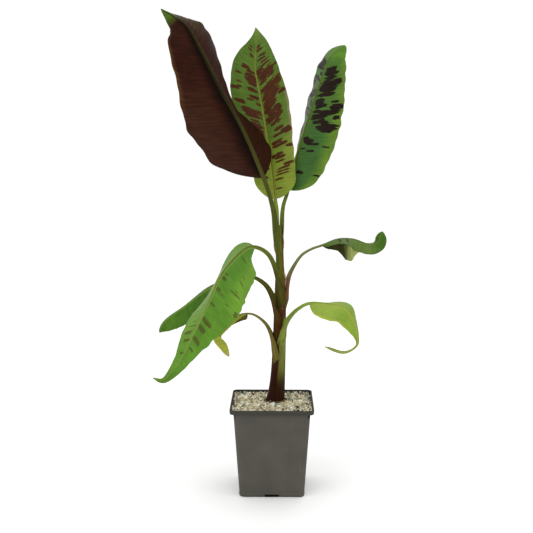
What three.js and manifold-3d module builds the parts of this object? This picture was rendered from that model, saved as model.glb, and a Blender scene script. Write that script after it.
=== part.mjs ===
// A young banana plant in a square nursery pot. Millimetres, +Z up.
// The origin is the middle of the pot's flat underside, and +Y is the plant's back.
import * as THREE from 'three';
import { mergeVertices } from 'three/addons/utils/BufferGeometryUtils.js';
import Module from 'manifold-3d';

const wasm = await Module();
wasm.setup();

// ---- Driving sizes ---------------------------------------------------------------------------
const GAP = 0.3; // air left between neighbouring pieces

const POT = {
  height: 120,
  rimWidth: 110,
  rimDepth: 6,
  rimOverhang: 4,
  baseWidth: 86,
  wall: 1.5,
  floor: 2,
  footRound: 3,
  cornerRadius: 7,
  slotWidth: 19,
  slotHeight: 4,
  slotReach: 5,
};

// The step inside the pot's rim, where the grit spreads out over the top of the wall.
const RIM_LEDGE = POT.height - POT.rimDepth + POT.wall;

const GRIT = {
  edgeTop: 116.4,
  crownTop: 118,
  bottom: 101,
  crownRadius: 16,
  slopeRadius: 50,
  slopeSteps: 4,
};

// The false stem of rolled leaf bases: its middle line and its radius from the ground to the fork.
const STEM = {
  groundZ: GRIT.crownTop + GAP,
  forkZ: 342,
  path: [[4, 8], [7.5, 8], [9.2, 8], [10.2, 8], [10.4, 7.5], [10, 6], [8, 3]],
  radius: [9.4, 8.7, 8.3, 8, 7.2, 5.6, 5.5],
  flare: 3,
  flareHeight: 12,
};

const BLADE_THICKNESS = 0.8;
const LEAST_HALF_WIDTH = 1;
const WIDTH_END = 0.7; // power that rounds the outline into its tip

// ---- Colours ---------------------------------------------------------------------------------
const finish = (color, roughness) => new THREE.MeshStandardMaterial({ color, roughness, metalness: 0 });
const COLOURS = {
  pot: finish(0x4f4d47, 0.6),
  mix: finish(0x2d2119, 0.95),
  grit: finish(0xcfc6ae, 0.9),
  stem: finish(0x4a2a1c, 0.5),
  stalk: finish(0x5c7030, 0.5),
};

// ---- Leaves ----------------------------------------------------------------------------------
// Each leaf has one middle line: its stalk from the stem, then the rib of its blade to the tip.
// left and right are the two halves of the blade, seen on the upper face with the tip up. widths
// are half-widths from the blade's foot to its tip. lift gives, at even steps along the blade,
// how far a half is turned up from the plane across the facing direction, at the rib and at the
// margin. skew is the slant of the veins towards the tip. Angles are in degrees.
const LEAVES = {
  tall_left: {
    colour: 0x4a3326,
    start: [5.6, -1.6],
    stalkRadius: [3.4, 2.8],
    stalk: [[1, -10, 378]],
    rib: [
      [-11, -24, 418], [-37, -46, 480], [-63, -60, 526], [-87, -66, 574],
      [-103, -62, 602], [-120, -54, 615], [-137, -44, 626],
    ],
    facing: [[0, 1, 0]],
    skew: [5, 25, 35],
    footRound: 0.1,
    tipFrom: 0.6,
    left: { widths: [64, 72, 56, 44, 22], lift: [[56, 66], [80, 98], [60, 88], [50, 76], [70, 90]] },
    right: { widths: [64, 75, 54, 42, 21], lift: [[30, 45], [10, 30], [20, 50]] },
  },
  tall_middle: {
    colour: 0x5f7d35,
    start: [5.5, 5.9],
    stalkRadius: [2.6, 2.3],
    stalk: [[6, 7, 372]],
    rib: [
      [4, 9, 389], [-3, 24, 447], [-13, 38, 506], [-23, 46, 560], [-22, 50, 589], [-23, 56, 616],
    ],
    facing: [[0, -1, 0]],
    skew: [0, 25, 35],
    footRound: 0.1,
    tipFrom: 0.7,
    left: { widths: [22, 34, 44, 33, 5], lift: [[30, 20], [25, 0], [20, 0]] },
    right: { widths: [31, 34, 41, 33, 14], lift: [[30, 10], [25, -20], [20, 0]] },
  },
  tall_right: {
    colour: 0x4c7a3a,
    start: [12, 3],
    stalkRadius: [2.9, 2.3],
    stalk: [[14, 9, 377]],
    rib: [
      [21, 14, 401], [35, 30, 453], [53, 44, 509], [69, 54, 557], [79, 60, 579], [98, 62, 593],
    ],
    facing: [[0, -1, 0]],
    skew: [0, 20, 25],
    footRound: 0.1,
    tipFrom: 0.7,
    left: { widths: [34, 44, 44, 34, 24], lift: [[-80, -88], [-84, -92], [-78, -84], [-68, -76], [-55, -62]] },
    right: { widths: [30, 45, 44, 32, 26], lift: [[20, 0], [20, 0], [20, 0]] },
  },
  front_left: {
    colour: 0x5f9a35,
    heading: -105,
    leavesAt: 262,
    stalkRadius: [4.3, 2.4],
    stalk: [[5.5, -8, 290], [-4, -17, 317]],
    rib: [
      [-22, -32, 329.5], [-39, -48, 324], [-62, -76, 299], [-78, -98, 265], [-96, -112, 229],
      [-112, -118, 198], [-130, -118, 177], [-144, -116, 178],
    ],
    facing: [[0, -1, 0]],
    skew: [-4, 20, 30],
    footRound: 0.06,
    tipFrom: 0.8,
    left: { widths: [30, 42, 42, 27, 12, 6], lift: [[-5, -20], [-5, -20]] },
    right: {
      widths: [20, 38, 36, 23, 11, 4],
      lift: [[-68, -74], [-88, -95], [-60, -66], [-40, -44], [-60, -60]],
    },
  },
  back_left: {
    colour: 0x4f8a33,
    heading: -125,
    leavesAt: 236,
    stalkRadius: [3.3, 2],
    stalk: [[-0.5, -3, 257], [-8, 1, 274], [-22, 8, 284]],
    rib: [
      [-39, 14, 287], [-62, 20, 280], [-91, 26, 264], [-119, 30, 242], [-144, 30, 224],
      [-152, 28, 214], [-153, 24, 207],
    ],
    facing: [[0, -1, 0.3]],
    skew: [-20, 20, 30],
    footRound: 0.1,
    tipFrom: 0.8,
    left: { widths: [24, 30, 28, 21, 12], lift: [[-5, -20], [-5, -20]] },
    right: { widths: [24, 30, 28, 21, 12], lift: [[-70, -85], [-70, -85]] },
  },
  low_left: {
    colour: 0x9aa83c,
    heading: -132,
    leavesAt: 185,
    stalkRadius: [3.2, 1.8],
    stalk: [[-1, 2, 203], [-8, 10, 220], [-21, 18, 231]],
    rib: [
      [-34, 22, 234], [-49, 28, 230], [-66, 32, 219], [-78, 30, 207], [-79, 22, 196],
      [-70, 14, 187], [-58, 8, 177.5],
    ],
    facing: [[0, -0.3, 1], [-1, -0.6, 0.3], [-0.3, -1, -0.3]],
    skew: [-10, 15, 20],
    footRound: 0.1,
    tipFrom: 0.8,
    splitAt: 0.5,
    left: { widths: [6, 10, 12, 12, 7], lift: [[-5, -15], [-30, -40], [-30, -40]] },
    right: { widths: [10, 14, 14, 12, 7], lift: [[-80, -90], [-60, -80], [-30, -40]] },
  },
  high_right: {
    colour: 0x5b7f4a,
    heading: 15,
    leavesAt: 255,
    stalkRadius: [2.8, 2.1],
    stalk: [[21.5, 10, 275], [26, 12, 293], [38, 15, 313], [52, 20, 322]],
    rib: [
      [67, 24, 327], [88, 28, 335], [107, 28, 335], [122, 25, 330], [133, 20, 327],
      [141, 15, 332], [146, 10, 346],
    ],
    facing: [[0, -0.3, 1], [0, -0.3, 1], [-0.2, -1, 0.6], [0, -1, 0]],
    skew: [-10, 10, 10],
    footRound: 0.1,
    tipFrom: 0.8,
    left: { widths: [6, 18, 36, 20, 8, 8], lift: [[-80, -90], [-85, -95], [-75, -80], [-30, -35], [-5, -5]] },
    right: { widths: [8, 14, 18, 15, 12, 9], lift: [[0, -8], [-5, -12], [-5, -10], [0, 0]] },
  },
  low_right: {
    colour: 0x8dab45,
    heading: -50,
    leavesAt: 206,
    stalkRadius: [3.4, 2],
    stalk: [[18.5, -7, 221], [24, -17, 235], [34, -26, 248]],
    rib: [
      [49, -34, 257], [73, -42, 257], [92, -46, 253], [104, -48, 237], [110, -48, 217],
      [108, -48, 204], [92, -50, 196], [68, -54, 204],
    ],
    facing: [[0, -1, 0.5]],
    skew: [-20, 0, 12, 0],
    footRound: 0.08,
    tipFrom: 0.9,
    splitAt: 0.56,
    left: { widths: [20, 12, 20, 6, 2, 2, 2], lift: [[-70, -85], [-40, -60], [-50, -60], [-30, -30]] },
    right: { widths: [10, 20, 20, 13, 2, 2, 2], lift: [[-10, -20], [-10, -20]] },
  },
};

// ---- Shape helpers ---------------------------------------------------------------------------
const radians = THREE.MathUtils.degToRad;
const smoothCurve = (points) => new THREE.CatmullRomCurve3(points, false, 'catmullrom', 0.5);

// Reads a short list of keys (numbers, pairs or triples) smoothly at a share s of the way along it.
function keyed(keys, s) {
  const points = keys.map((key) => new THREE.Vector3(...[].concat(key, [0, 0]).slice(0, 3)));
  return points.length === 1 ? points[0] : smoothCurve(points).getPoint(Math.min(Math.max(s, 0), 1));
}

// Moves every vertex of a geometry by place(vertex, index), which returns the new position.
function reshape(geometry, place) {
  const position = geometry.getAttribute('position');
  for (let i = 0; i < position.count; i += 1) {
    const moved = place(new THREE.Vector3().fromBufferAttribute(position, i), i);
    position.setXYZ(i, moved.x, moved.y, moved.z);
  }
  return welded(geometry);
}

function welded(geometry) {
  geometry.deleteAttribute('normal');
  geometry.deleteAttribute('uv');
  const merged = mergeVertices(geometry, 1e-4);
  merged.computeVertexNormals();
  return merged;
}

function solidOf(geometry) {
  const mesh = welded(geometry.clone());
  const vertProperties = new Float32Array(mesh.getAttribute('position').array);
  const triVerts = new Uint32Array(mesh.getIndex().array);
  return new wasm.Manifold(new wasm.Mesh({ numProp: 3, vertProperties, triVerts }));
}

function geometryOf(solid) {
  const mesh = solid.getMesh();
  const geometry = new THREE.BufferGeometry();
  geometry.setAttribute('position', new THREE.BufferAttribute(new Float32Array(mesh.vertProperties), 3));
  geometry.setIndex(new THREE.BufferAttribute(new Uint32Array(mesh.triVerts), 1));
  geometry.computeVertexNormals();
  return geometry;
}

function box(size, centre) {
  return new THREE.BoxGeometry(...size).translate(...centre);
}

const plant = new THREE.Group();

function addPiece(name, geometry, material) {
  const mesh = new THREE.Mesh(geometry, material);
  mesh.name = name;
  plant.add(mesh);
}

// ---- Pot, potting mix and grit ---------------------------------------------------------------
const STEPS_PER_CORNER = 4;
const STEPS_PER_SIDE = 2;

// Points round a square with rounded corners, anticlockwise from the middle of the +X side.
function roundedSquare(half, radius) {
  const r = Math.min(radius, half);
  const points = [];
  for (let corner = 0; corner < 4; corner += 1) {
    const turn = (corner * Math.PI) / 2;
    const local = [new THREE.Vector2(half, 0)];
    for (let k = 0; k <= STEPS_PER_CORNER; k += 1) {
      const a = (k / STEPS_PER_CORNER) * (Math.PI / 2);
      local.push(new THREE.Vector2(half - r + r * Math.cos(a), half - r + r * Math.sin(a)));
    }
    local.forEach((point) => points.push(point.rotateAround(new THREE.Vector2(), turn)));
  }
  return points;
}

// Turns a profile of [half-width, height] points round the rounded square.
function squareLoft(profile) {
  const around = 4 * (STEPS_PER_CORNER + STEPS_PER_SIDE);
  const lathe = new THREE.LatheGeometry(profile.map(([half, z]) => new THREE.Vector2(half, z)), around);
  return reshape(lathe, (vertex, index) => {
    const station = Math.floor(index / profile.length) % around;
    const [half, z] = profile[index % profile.length];
    const point = roundedSquare(Math.max(half, 0), POT.cornerRadius)[station];
    return new THREE.Vector3(point.x, point.y, z);
  });
}

function wallHalfWidth(z) {
  const top = POT.rimWidth / 2 - POT.rimOverhang;
  return THREE.MathUtils.lerp(POT.baseWidth / 2, top, z / POT.height);
}

function makePot() {
  const { height, rimWidth, rimDepth, baseWidth, wall, floor, footRound } = POT;
  const rimBottom = height - rimDepth;
  const footBevel = footRound * (1 - Math.SQRT1_2);
  const shell = squareLoft([
    [0, 0], [baseWidth / 2 - footRound, 0], [baseWidth / 2 - footBevel, footBevel],
    [wallHalfWidth(footRound), footRound], [wallHalfWidth(rimBottom), rimBottom],
    [rimWidth / 2, rimBottom], [rimWidth / 2, height], [rimWidth / 2 - wall, height],
    [rimWidth / 2 - wall, RIM_LEDGE], [wallHalfWidth(RIM_LEDGE) - wall, RIM_LEDGE],
    [wallHalfWidth(floor) - wall, floor], [0, floor],
  ]);
  let solid = solidOf(shell);
  const depth = 2 * POT.slotReach; // the cutter reaches as far outside the base as inside it
  for (const [x, y] of [[1, 0], [-1, 0], [0, 1], [0, -1]]) {
    const across = [x ? depth : POT.slotWidth, y ? depth : POT.slotWidth];
    const cutter = box([...across, 2 * POT.slotHeight], [(x * baseWidth) / 2, (y * baseWidth) / 2, 0]);
    solid = solid.subtract(solidOf(cutter));
  }
  addPiece('pot', geometryOf(solid), COLOURS.pot);
}

function innerHalfWidth(z) {
  return wallHalfWidth(z) - POT.wall - GAP;
}

function makePottingMix() {
  const bottom = POT.floor + GAP;
  const top = GRIT.bottom - GAP;
  const mix = squareLoft([[0, bottom], [innerHalfWidth(bottom), bottom], [innerHalfWidth(top), top], [0, top]]);
  addPiece('potting_mix', mix, COLOURS.mix);
}

// Height of the grit's surface: a level crown round the stem that falls away to the walls.
function gritTop(distance) {
  const fall = (distance - GRIT.crownRadius) / (GRIT.slopeRadius - GRIT.crownRadius);
  const drop = THREE.MathUtils.smoothstep(fall, 0, 1);
  return THREE.MathUtils.lerp(GRIT.crownTop, GRIT.edgeTop, drop);
}

function makeGrit() {
  const ledge = RIM_LEDGE + GAP;
  const rim = POT.rimWidth / 2 - POT.wall - GAP;
  const slope = Array.from({ length: GRIT.slopeSteps + 1 }, (_, k) => (
    THREE.MathUtils.lerp(GRIT.crownRadius, rim, k / GRIT.slopeSteps)
  ));
  const top = [0, ...slope].map((ring) => [ring, gritTop(ring)]).reverse();
  const grit = squareLoft([
    [0, GRIT.bottom], [innerHalfWidth(GRIT.bottom), GRIT.bottom], [innerHalfWidth(ledge), ledge], [rim, ledge], ...top,
  ]);
  addPiece('grit_top', grit, COLOURS.grit);
}

// ---- Stem and stalks -------------------------------------------------------------------------
const STEM_SIDES = 14;
const STEM_STEPS = 16;
const STEM_STEP_POWER = 1.4; // gathers the steps towards the flared foot

function stemShare(z) {
  return (z - STEM.groundZ) / (STEM.forkZ - STEM.groundZ);
}

function stemCentre(z) {
  const point = keyed(STEM.path, stemShare(z));
  return new THREE.Vector2(point.x, point.y);
}

function stemRadius(z) {
  const flare = STEM.flare * Math.exp(-(z - STEM.groundZ) / STEM.flareHeight);
  return keyed(STEM.radius, stemShare(z)).x + flare;
}

function makeStem() {
  const column = new THREE.CylinderGeometry(1, 1, 1, STEM_SIDES, STEM_STEPS);
  const stem = reshape(column, (vertex) => {
    const share = (vertex.y + 0.5) ** STEM_STEP_POWER;
    const z = THREE.MathUtils.lerp(STEM.groundZ, STEM.forkZ, share);
    const centre = stemCentre(z);
    const radius = stemRadius(z);
    return new THREE.Vector3(centre.x + radius * vertex.x, centre.y - radius * vertex.z, z);
  });
  addPiece('pseudostem', stem, COLOURS.stem);
}

const STALK_SIDES = 8;
const STALK_STEPS = 10;

// The leaf's middle line, with the share of its length where the blade begins.
function middleLine(leaf) {
  let first;
  if (leaf.start) {
    first = new THREE.Vector3(leaf.start[0], leaf.start[1], STEM.forkZ + GAP);
  } else {
    const centre = stemCentre(leaf.leavesAt);
    const reach = stemRadius(leaf.leavesAt) + leaf.stalkRadius[0] + GAP;
    const heading = radians(leaf.heading);
    first = new THREE.Vector3(
      centre.x + reach * Math.cos(heading),
      centre.y + reach * Math.sin(heading),
      leaf.leavesAt,
    );
  }
  const points = [first, ...[...leaf.stalk, ...leaf.rib].map((point) => new THREE.Vector3(...point))];
  const curve = smoothCurve(points);
  curve.arcLengthDivisions = 400;
  const lengths = curve.getLengths();
  const bladeKnot = (leaf.stalk.length + 1) / (points.length - 1);
  const bladeFrom = lengths[Math.round(bladeKnot * curve.arcLengthDivisions)] / curve.getLength();
  return { curve, bladeFrom, length: curve.getLength() };
}

function makeStalk(name, leaf) {
  const { curve, bladeFrom, length } = middleLine(leaf);
  const footSlant = Math.max(radians(-leaf.skew[0]), 0);
  const clearance = GAP + (leaf.stalkRadius[1] + 2 * BLADE_THICKNESS) * Math.tan(footSlant);
  const last = bladeFrom - clearance / length;
  const tube = new THREE.CylinderGeometry(1, 1, 1, STALK_SIDES, STALK_STEPS);
  const stalk = reshape(tube, (vertex) => {
    const share = vertex.y + 0.5;
    const point = curve.getPointAt(share * last);
    const along = curve.getTangentAt(share * last);
    if (leaf.start) {
      along.lerp(new THREE.Vector3(0, 0, 1), (1 - share) ** 4).normalize();
    }
    const across = new THREE.Vector3(0, -1, 0).cross(along).normalize();
    const up = new THREE.Vector3().crossVectors(along, across);
    const radius = THREE.MathUtils.lerp(...leaf.stalkRadius, share);
    return point.addScaledVector(across, radius * vertex.x).addScaledVector(up, -radius * vertex.z);
  });
  addPiece(`stalk_${name}`, stalk, COLOURS.stalk);
}

// ---- Blades ----------------------------------------------------------------------------------
const ROWS = 20;
const ROW_GATHERING = 0.4; // how far the rows gather towards the blade's two ends
const STEPS_PER_HALF = 3;
const WALK_STEPS = 8;
const NORMAL_STEP = 0.12; // share of a half-width on each side of a place that gives its slope

// Half-width of one half of the blade at a share s of the way from its foot to its tip.
function halfWidth(leaf, side, s) {
  const foot = Math.min(s / leaf.footRound, 1);
  const rise = Math.sqrt(1 - (1 - foot) ** 2);
  const towardsTip = Math.max((s - leaf.tipFrom) / (1 - leaf.tipFrom), 0);
  const fall = Math.max(1 - towardsTip ** 2, 0) ** WIDTH_END;
  return Math.max(keyed(side.widths, s).x * rise * fall, LEAST_HALF_WIDTH);
}

// The frame at a share s of the blade: its point, and the directions along, across and up.
function ribFrame(leaf, line, s) {
  const u = THREE.MathUtils.lerp(line.bladeFrom, 1, s);
  const point = line.curve.getPointAt(u);
  const along = line.curve.getTangentAt(u);
  const facing = keyed(leaf.facing, s);
  const up = facing.addScaledVector(along, -facing.dot(along)).normalize();
  const across = new THREE.Vector3().crossVectors(along, up);
  return { point, along, across, up };
}

// Walks from the rib to a place on the blade; v runs from -1 (left margin) to 1 (right margin).
function bladePoint(leaf, frame, s, v) {
  const sign = v < 0 ? -1 : 1;
  const side = v < 0 ? leaf.left : leaf.right;
  const width = halfWidth(leaf, side, s);
  const lift = keyed(side.lift, s);
  const skew = radians(keyed(leaf.skew, s).x);
  const place = frame.point.clone();
  const direction = new THREE.Vector3();
  for (let k = 0; k < WALK_STEPS; k += 1) {
    const share = (Math.abs(v) * (k + 0.5)) / WALK_STEPS;
    const angle = radians(THREE.MathUtils.lerp(lift.x, lift.y, share));
    direction.copy(frame.across).multiplyScalar(sign * Math.cos(angle) * Math.cos(skew));
    direction.addScaledVector(frame.up, Math.sin(angle) * Math.cos(skew));
    direction.addScaledVector(frame.along, Math.sin(skew));
    place.addScaledVector(direction, (width * Math.abs(v)) / WALK_STEPS);
  }
  return place;
}

function bladeNormal(leaf, frame, s, v) {
  const before = bladePoint(leaf, frame, s, Math.max(v - NORMAL_STEP, -1));
  const after = bladePoint(leaf, frame, s, Math.min(v + NORMAL_STEP, 1));
  return after.sub(before).cross(frame.along).normalize();
}

// Splits every face on the slab's under side along the same diagonal as the face above it, so that
// the two sides stay parallel where the blade twists.
function matchDiagonals(slab) {
  const index = slab.getIndex();
  const { start, count } = slab.groups[slab.groups.length - 1];
  for (let i = start; i < start + count; i += 6) {
    const [a, b, d] = [index.getX(i), index.getX(i + 1), index.getX(i + 2)];
    const c = index.getX(i + 4);
    [a, b, c, a, c, d].forEach((corner, k) => index.setX(i + k, corner));
  }
  return slab;
}

function makeBlade(name, leaf, from, to) {
  const line = middleLine(leaf);
  const slab = matchDiagonals(new THREE.BoxGeometry(2, 1, 1, 2 * STEPS_PER_HALF, ROWS, 1));
  const blade = reshape(slab, (vertex) => {
    const even = vertex.y + 0.5;
    const gathered = 0.5 - 0.5 * Math.cos(Math.PI * even);
    const s = THREE.MathUtils.lerp(from, to, THREE.MathUtils.lerp(even, gathered, ROW_GATHERING));
    const frame = ribFrame(leaf, line, s);
    const normal = bladeNormal(leaf, frame, s, vertex.x);
    return bladePoint(leaf, frame, s, vertex.x).addScaledVector(normal, vertex.z * BLADE_THICKNESS);
  });
  addPiece(name, blade, finish(leaf.colour, 0.5));
}

function makeLeaf(name, leaf) {
  makeStalk(name, leaf);
  if (leaf.splitAt) {
    const line = middleLine(leaf);
    const gap = GAP / (line.length * (1 - line.bladeFrom));
    makeBlade(`blade_${name}`, leaf, 0, leaf.splitAt - gap);
    makeBlade(`curl_${name}`, leaf, leaf.splitAt + gap, 1);
  } else {
    makeBlade(`blade_${name}`, leaf, 0, 1);
  }
}

// ---- Assembly --------------------------------------------------------------------------------
makePot();
makePottingMix();
makeGrit();
makeStem();
for (const [name, leaf] of Object.entries(LEAVES)) {
  makeLeaf(name, leaf);
}

export default plant;
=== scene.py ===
"""A young banana plant with mottled leaves in a square nursery pot, dressed round its CAD frame.

Sizes are in millimetres and become metres when a mesh is made, except in the studio.
The origin is the middle of the pot's flat underside, +Z is up and +Y is the plant's back.
"""

import logging  # noqa: E402
import math  # noqa: E402
from collections.abc import Callable, Sequence  # noqa: E402
from dataclasses import dataclass  # noqa: E402
from enum import Enum  # noqa: E402

import bmesh  # noqa: E402
import bpy  # noqa: E402
import numpy as np  # noqa: E402
from mathutils import Matrix, Vector  # noqa: E402


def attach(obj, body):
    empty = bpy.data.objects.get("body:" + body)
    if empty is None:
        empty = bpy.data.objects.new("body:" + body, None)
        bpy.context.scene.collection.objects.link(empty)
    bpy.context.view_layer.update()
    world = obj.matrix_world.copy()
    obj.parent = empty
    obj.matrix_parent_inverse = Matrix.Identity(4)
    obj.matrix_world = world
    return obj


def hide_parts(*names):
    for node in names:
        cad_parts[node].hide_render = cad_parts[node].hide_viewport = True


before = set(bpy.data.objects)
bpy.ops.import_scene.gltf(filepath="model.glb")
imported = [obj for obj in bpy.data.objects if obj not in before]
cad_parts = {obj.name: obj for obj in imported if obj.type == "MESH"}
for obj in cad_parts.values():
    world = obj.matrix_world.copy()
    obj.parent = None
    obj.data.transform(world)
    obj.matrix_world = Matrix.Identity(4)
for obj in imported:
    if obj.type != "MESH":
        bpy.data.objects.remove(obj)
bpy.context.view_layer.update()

log = logging.getLogger("banana_plant")

MM = 0.001
GAP = 0.3
BODY = "root"
FLAT_MAP = "flat_map"
TINT = "tint"
UNDER_TINT = "under_tint"
BLOTCH = "blotch"
BLOTCH_DEPTH = "blotch_depth"
RIB_SHARE = "rib_share"

Array = np.ndarray
Pair = tuple[float, float]
Triple = tuple[float, float, float]


# ---- Numbers and curves ---------------------------------------------------------------------------
def smooth(low: float, high: float, value: Array) -> Array:
    """Rises smoothly from 0 at low to 1 at high."""
    share = np.clip((np.asarray(value, float) - low) / (high - low), 0.0, 1.0)
    return share * share * (3.0 - 2.0 * share)


def between(start: Array, end: Array, share: Array) -> Array:
    """Blends start into end."""
    return start + (end - start) * share


def unit(vectors: Array) -> Array:
    """Scales each row to length 1."""
    return vectors / np.maximum(np.linalg.norm(vectors, axis=-1, keepdims=True), 1e-12)


def dot(a: Array, b: Array) -> Array:
    """Row by row products, as a column."""
    return np.sum(a * b, axis=-1, keepdims=True)


def spline(knots: Array, shares: Array) -> Array:
    """Reads a uniform Catmull-Rom curve through the knots.

    Args:
        knots: one row for each knot.
        shares: how far along the curve, from 0 to 1.

    Returns:
        One row for each share.
    """
    ends = [2 * knots[:1] - knots[1:2], knots, 2 * knots[-1:] - knots[-2:-1]]
    padded = np.vstack(ends)
    place = np.clip(shares, 0.0, 1.0) * (len(knots) - 1)
    first = np.minimum(place.astype(int), len(knots) - 2)
    t = (place - first)[:, None]
    p0, p1, p2, p3 = (padded[first + k] for k in range(4))
    m1, m2 = (p2 - p0) / 2, (p3 - p1) / 2
    rise = t * t * (3 - 2 * t)
    return p1 + (p2 - p1) * rise + m1 * (t**3 - 2 * t**2 + t) + m2 * (t**3 - t**2)


def lengths_along(points: Array) -> Array:
    """How far along a line of points each one is."""
    return np.concatenate([[0.0], np.cumsum(np.linalg.norm(np.diff(points, axis=0), axis=1))])


def keyed(keys: Sequence, shares: Array) -> Array:
    """Reads a short list of keys smoothly at each share of the way along it."""
    rows = np.array(keys, float).reshape(len(keys), -1)
    if len(rows) == 1:
        return np.repeat(rows, len(shares), axis=0)
    return spline(rows, shares)


def wobble(seed: int, place: Array, length: float, waves: int = 5) -> Array:
    """A seeded uneven wave.

    Args:
        seed: names the wave.
        place: where to read it, in mm.
        length: its usual wavelength, in mm.
        waves: how many sine waves it is made of.

    Returns:
        Heights from about -1 to 1.
    """
    draw = np.random.default_rng(seed)
    total = np.zeros_like(place, dtype=float)
    for _ in range(waves):
        turns = place / (length * draw.uniform(0.6, 1.8))
        total += np.sin(2 * math.pi * (turns + draw.uniform()))
    return total / math.sqrt(waves)


def colour(name: str) -> Array:
    """Turns a paint code such as #5f9a35 into linear red, green and blue."""
    parts = np.array([int(name[k : k + 2], 16) for k in (1, 3, 5)]) / 255
    return np.where(parts <= 0.04045, parts / 12.92, ((parts + 0.055) / 1.055) ** 2.4)


# ---- Meshes ------------------------------------------------------------------------------------
Place = Callable[[Array, Array], Array]


def bent_grid(columns: int, rows: int, place: Place, uv: Place | None = None) -> bpy.types.Mesh:
    """Makes a grid and bends it to a shape.

    Args:
        columns: cells across.
        rows: cells along.
        place: gives positions in mm for shares across and along.
        uv: gives the flat map for the same shares; the shares themselves if left out.

    Returns:
        The mesh, in metres.
    """
    bm = bmesh.new()
    bmesh.ops.create_grid(bm, x_segments=columns, y_segments=rows, size=0.5)
    mesh = bpy.data.meshes.new("bent")
    bm.to_mesh(mesh)
    bm.free()
    flat = np.zeros(len(mesh.vertices) * 3)
    mesh.vertices.foreach_get("co", flat)
    across, along = flat.reshape(-1, 3)[:, 0] + 0.5, flat.reshape(-1, 3)[:, 1] + 0.5
    mapped = np.stack([across, along], axis=1) if uv is None else uv(across, along)
    corners = np.zeros(len(mesh.loops), dtype=int)
    mesh.loops.foreach_get("vertex_index", corners)
    mesh.uv_layers.new(name=FLAT_MAP).data.foreach_set("uv", mapped[corners].ravel())
    mesh.vertices.foreach_set("co", (place(across, along) * MM).ravel())
    mesh.update()
    return mesh


def close_tube(mesh: bpy.types.Mesh) -> None:
    """Joins a bent grid's side edges, closes its ends and turns its faces outwards."""
    bm = bmesh.new()
    bm.from_mesh(mesh)
    bmesh.ops.remove_doubles(bm, verts=bm.verts, dist=1e-6)
    rims = [edge for edge in bm.edges if edge.is_boundary]
    bmesh.ops.holes_fill(bm, edges=rims, sides=0)
    bmesh.ops.recalc_face_normals(bm, faces=bm.faces)
    bm.to_mesh(mesh)
    bm.free()


def set_tint(mesh: bpy.types.Mesh, name: str, tints: Array) -> None:
    """Stores a colour at each vertex."""
    layer = mesh.attributes.new(name, "FLOAT_COLOR", "POINT")
    layer.data.foreach_set("color", np.hstack([tints, np.ones((len(tints), 1))]).ravel())


def set_amount(mesh: bpy.types.Mesh, name: str, amounts: Array) -> None:
    """Stores a number at each vertex."""
    mesh.attributes.new(name, "FLOAT", "POINT").data.foreach_set("value", amounts.ravel())


def flat_map_of(mesh: bpy.types.Mesh, across: float, along: float) -> tuple[Array, Array]:
    """Reads a mesh's flat map back for each vertex.

    Args:
        mesh: a mesh made by bent_grid.
        across: the map's unit across, in metres.
        along: the map's unit along, in metres.

    Returns:
        The map's values across and along, in those units.
    """
    corners = np.zeros(len(mesh.loops), dtype=int)
    mesh.loops.foreach_get("vertex_index", corners)
    mapped = np.zeros(len(mesh.loops) * 2)
    mesh.uv_layers[FLAT_MAP].data.foreach_get("uv", mapped)
    rows = np.zeros((len(mesh.vertices), 2))
    rows[corners] = mapped.reshape(-1, 2)
    return rows[:, 0] / across, rows[:, 1] / along


def mesh_from(heap: bmesh.types.BMesh, name: str, size: float = MM) -> bpy.types.Mesh:
    """Turns a heap of shapes into one mesh.

    Args:
        heap: the shapes, which are freed.
        name: the mesh's name.
        size: metres to one of the heap's units.

    Returns:
        The mesh, in metres.
    """
    bmesh.ops.scale(heap, vec=(size, size, size), verts=heap.verts)
    mesh = bpy.data.meshes.new(name)
    heap.to_mesh(mesh)
    heap.free()
    return mesh


def add_lump(heap: bmesh.types.BMesh, middle: Triple, turn: Matrix, size: Sequence[float]) -> list:
    """Adds a rough ball to a heap.

    Args:
        heap: takes the ball.
        middle: its middle.
        turn: its rotation.
        size: its three radii.

    Returns:
        Its corners.
    """
    matrix = Matrix.Translation(middle) @ turn @ Matrix.Diagonal((*size, 1.0))
    return bmesh.ops.create_icosphere(heap, subdivisions=1, radius=1.0, matrix=matrix)["verts"]


def add_object(name: str, data: bpy.types.ID) -> bpy.types.Object:
    """Puts an object in the scene."""
    made = bpy.data.objects.new(name, data)
    bpy.context.scene.collection.objects.link(made)
    return made


def thicken(piece: bpy.types.Object, thickness: float, side: float = 0.0) -> bpy.types.Modifier:
    """Gives a sheet a thickness in mm, on both sides of it at side 0 and behind it at side -1."""
    body = piece.modifiers.new("thickness", "SOLIDIFY")
    body.thickness = thickness * MM
    body.offset = side
    return body


def add_piece(
    name: str,
    mesh: bpy.types.Mesh,
    materials: Sequence[bpy.types.Material],
    nodes: Sequence[str],
    sharp: float | None = None,
) -> bpy.types.Object:
    """Puts a finished mesh in the scene, on the plant's one body.

    Args:
        name: the piece's name.
        mesh: its mesh, in place.
        materials: its materials, in slot order.
        nodes: the CAD nodes that it stands for.
        sharp: edges bent more than this many degrees stay sharp; all are smooth if left out.

    Returns:
        The piece.
    """
    mesh.name = name
    for material in materials:
        mesh.materials.append(material)
    mesh.shade_smooth()
    if sharp is not None:
        mesh.set_sharp_from_angle(angle=math.radians(sharp))
    piece = add_object(name, mesh)
    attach(piece, BODY)
    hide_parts(*nodes)
    log.info("%s: %d faces for %s", name, len(mesh.polygons), ", ".join(nodes))
    return piece


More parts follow.
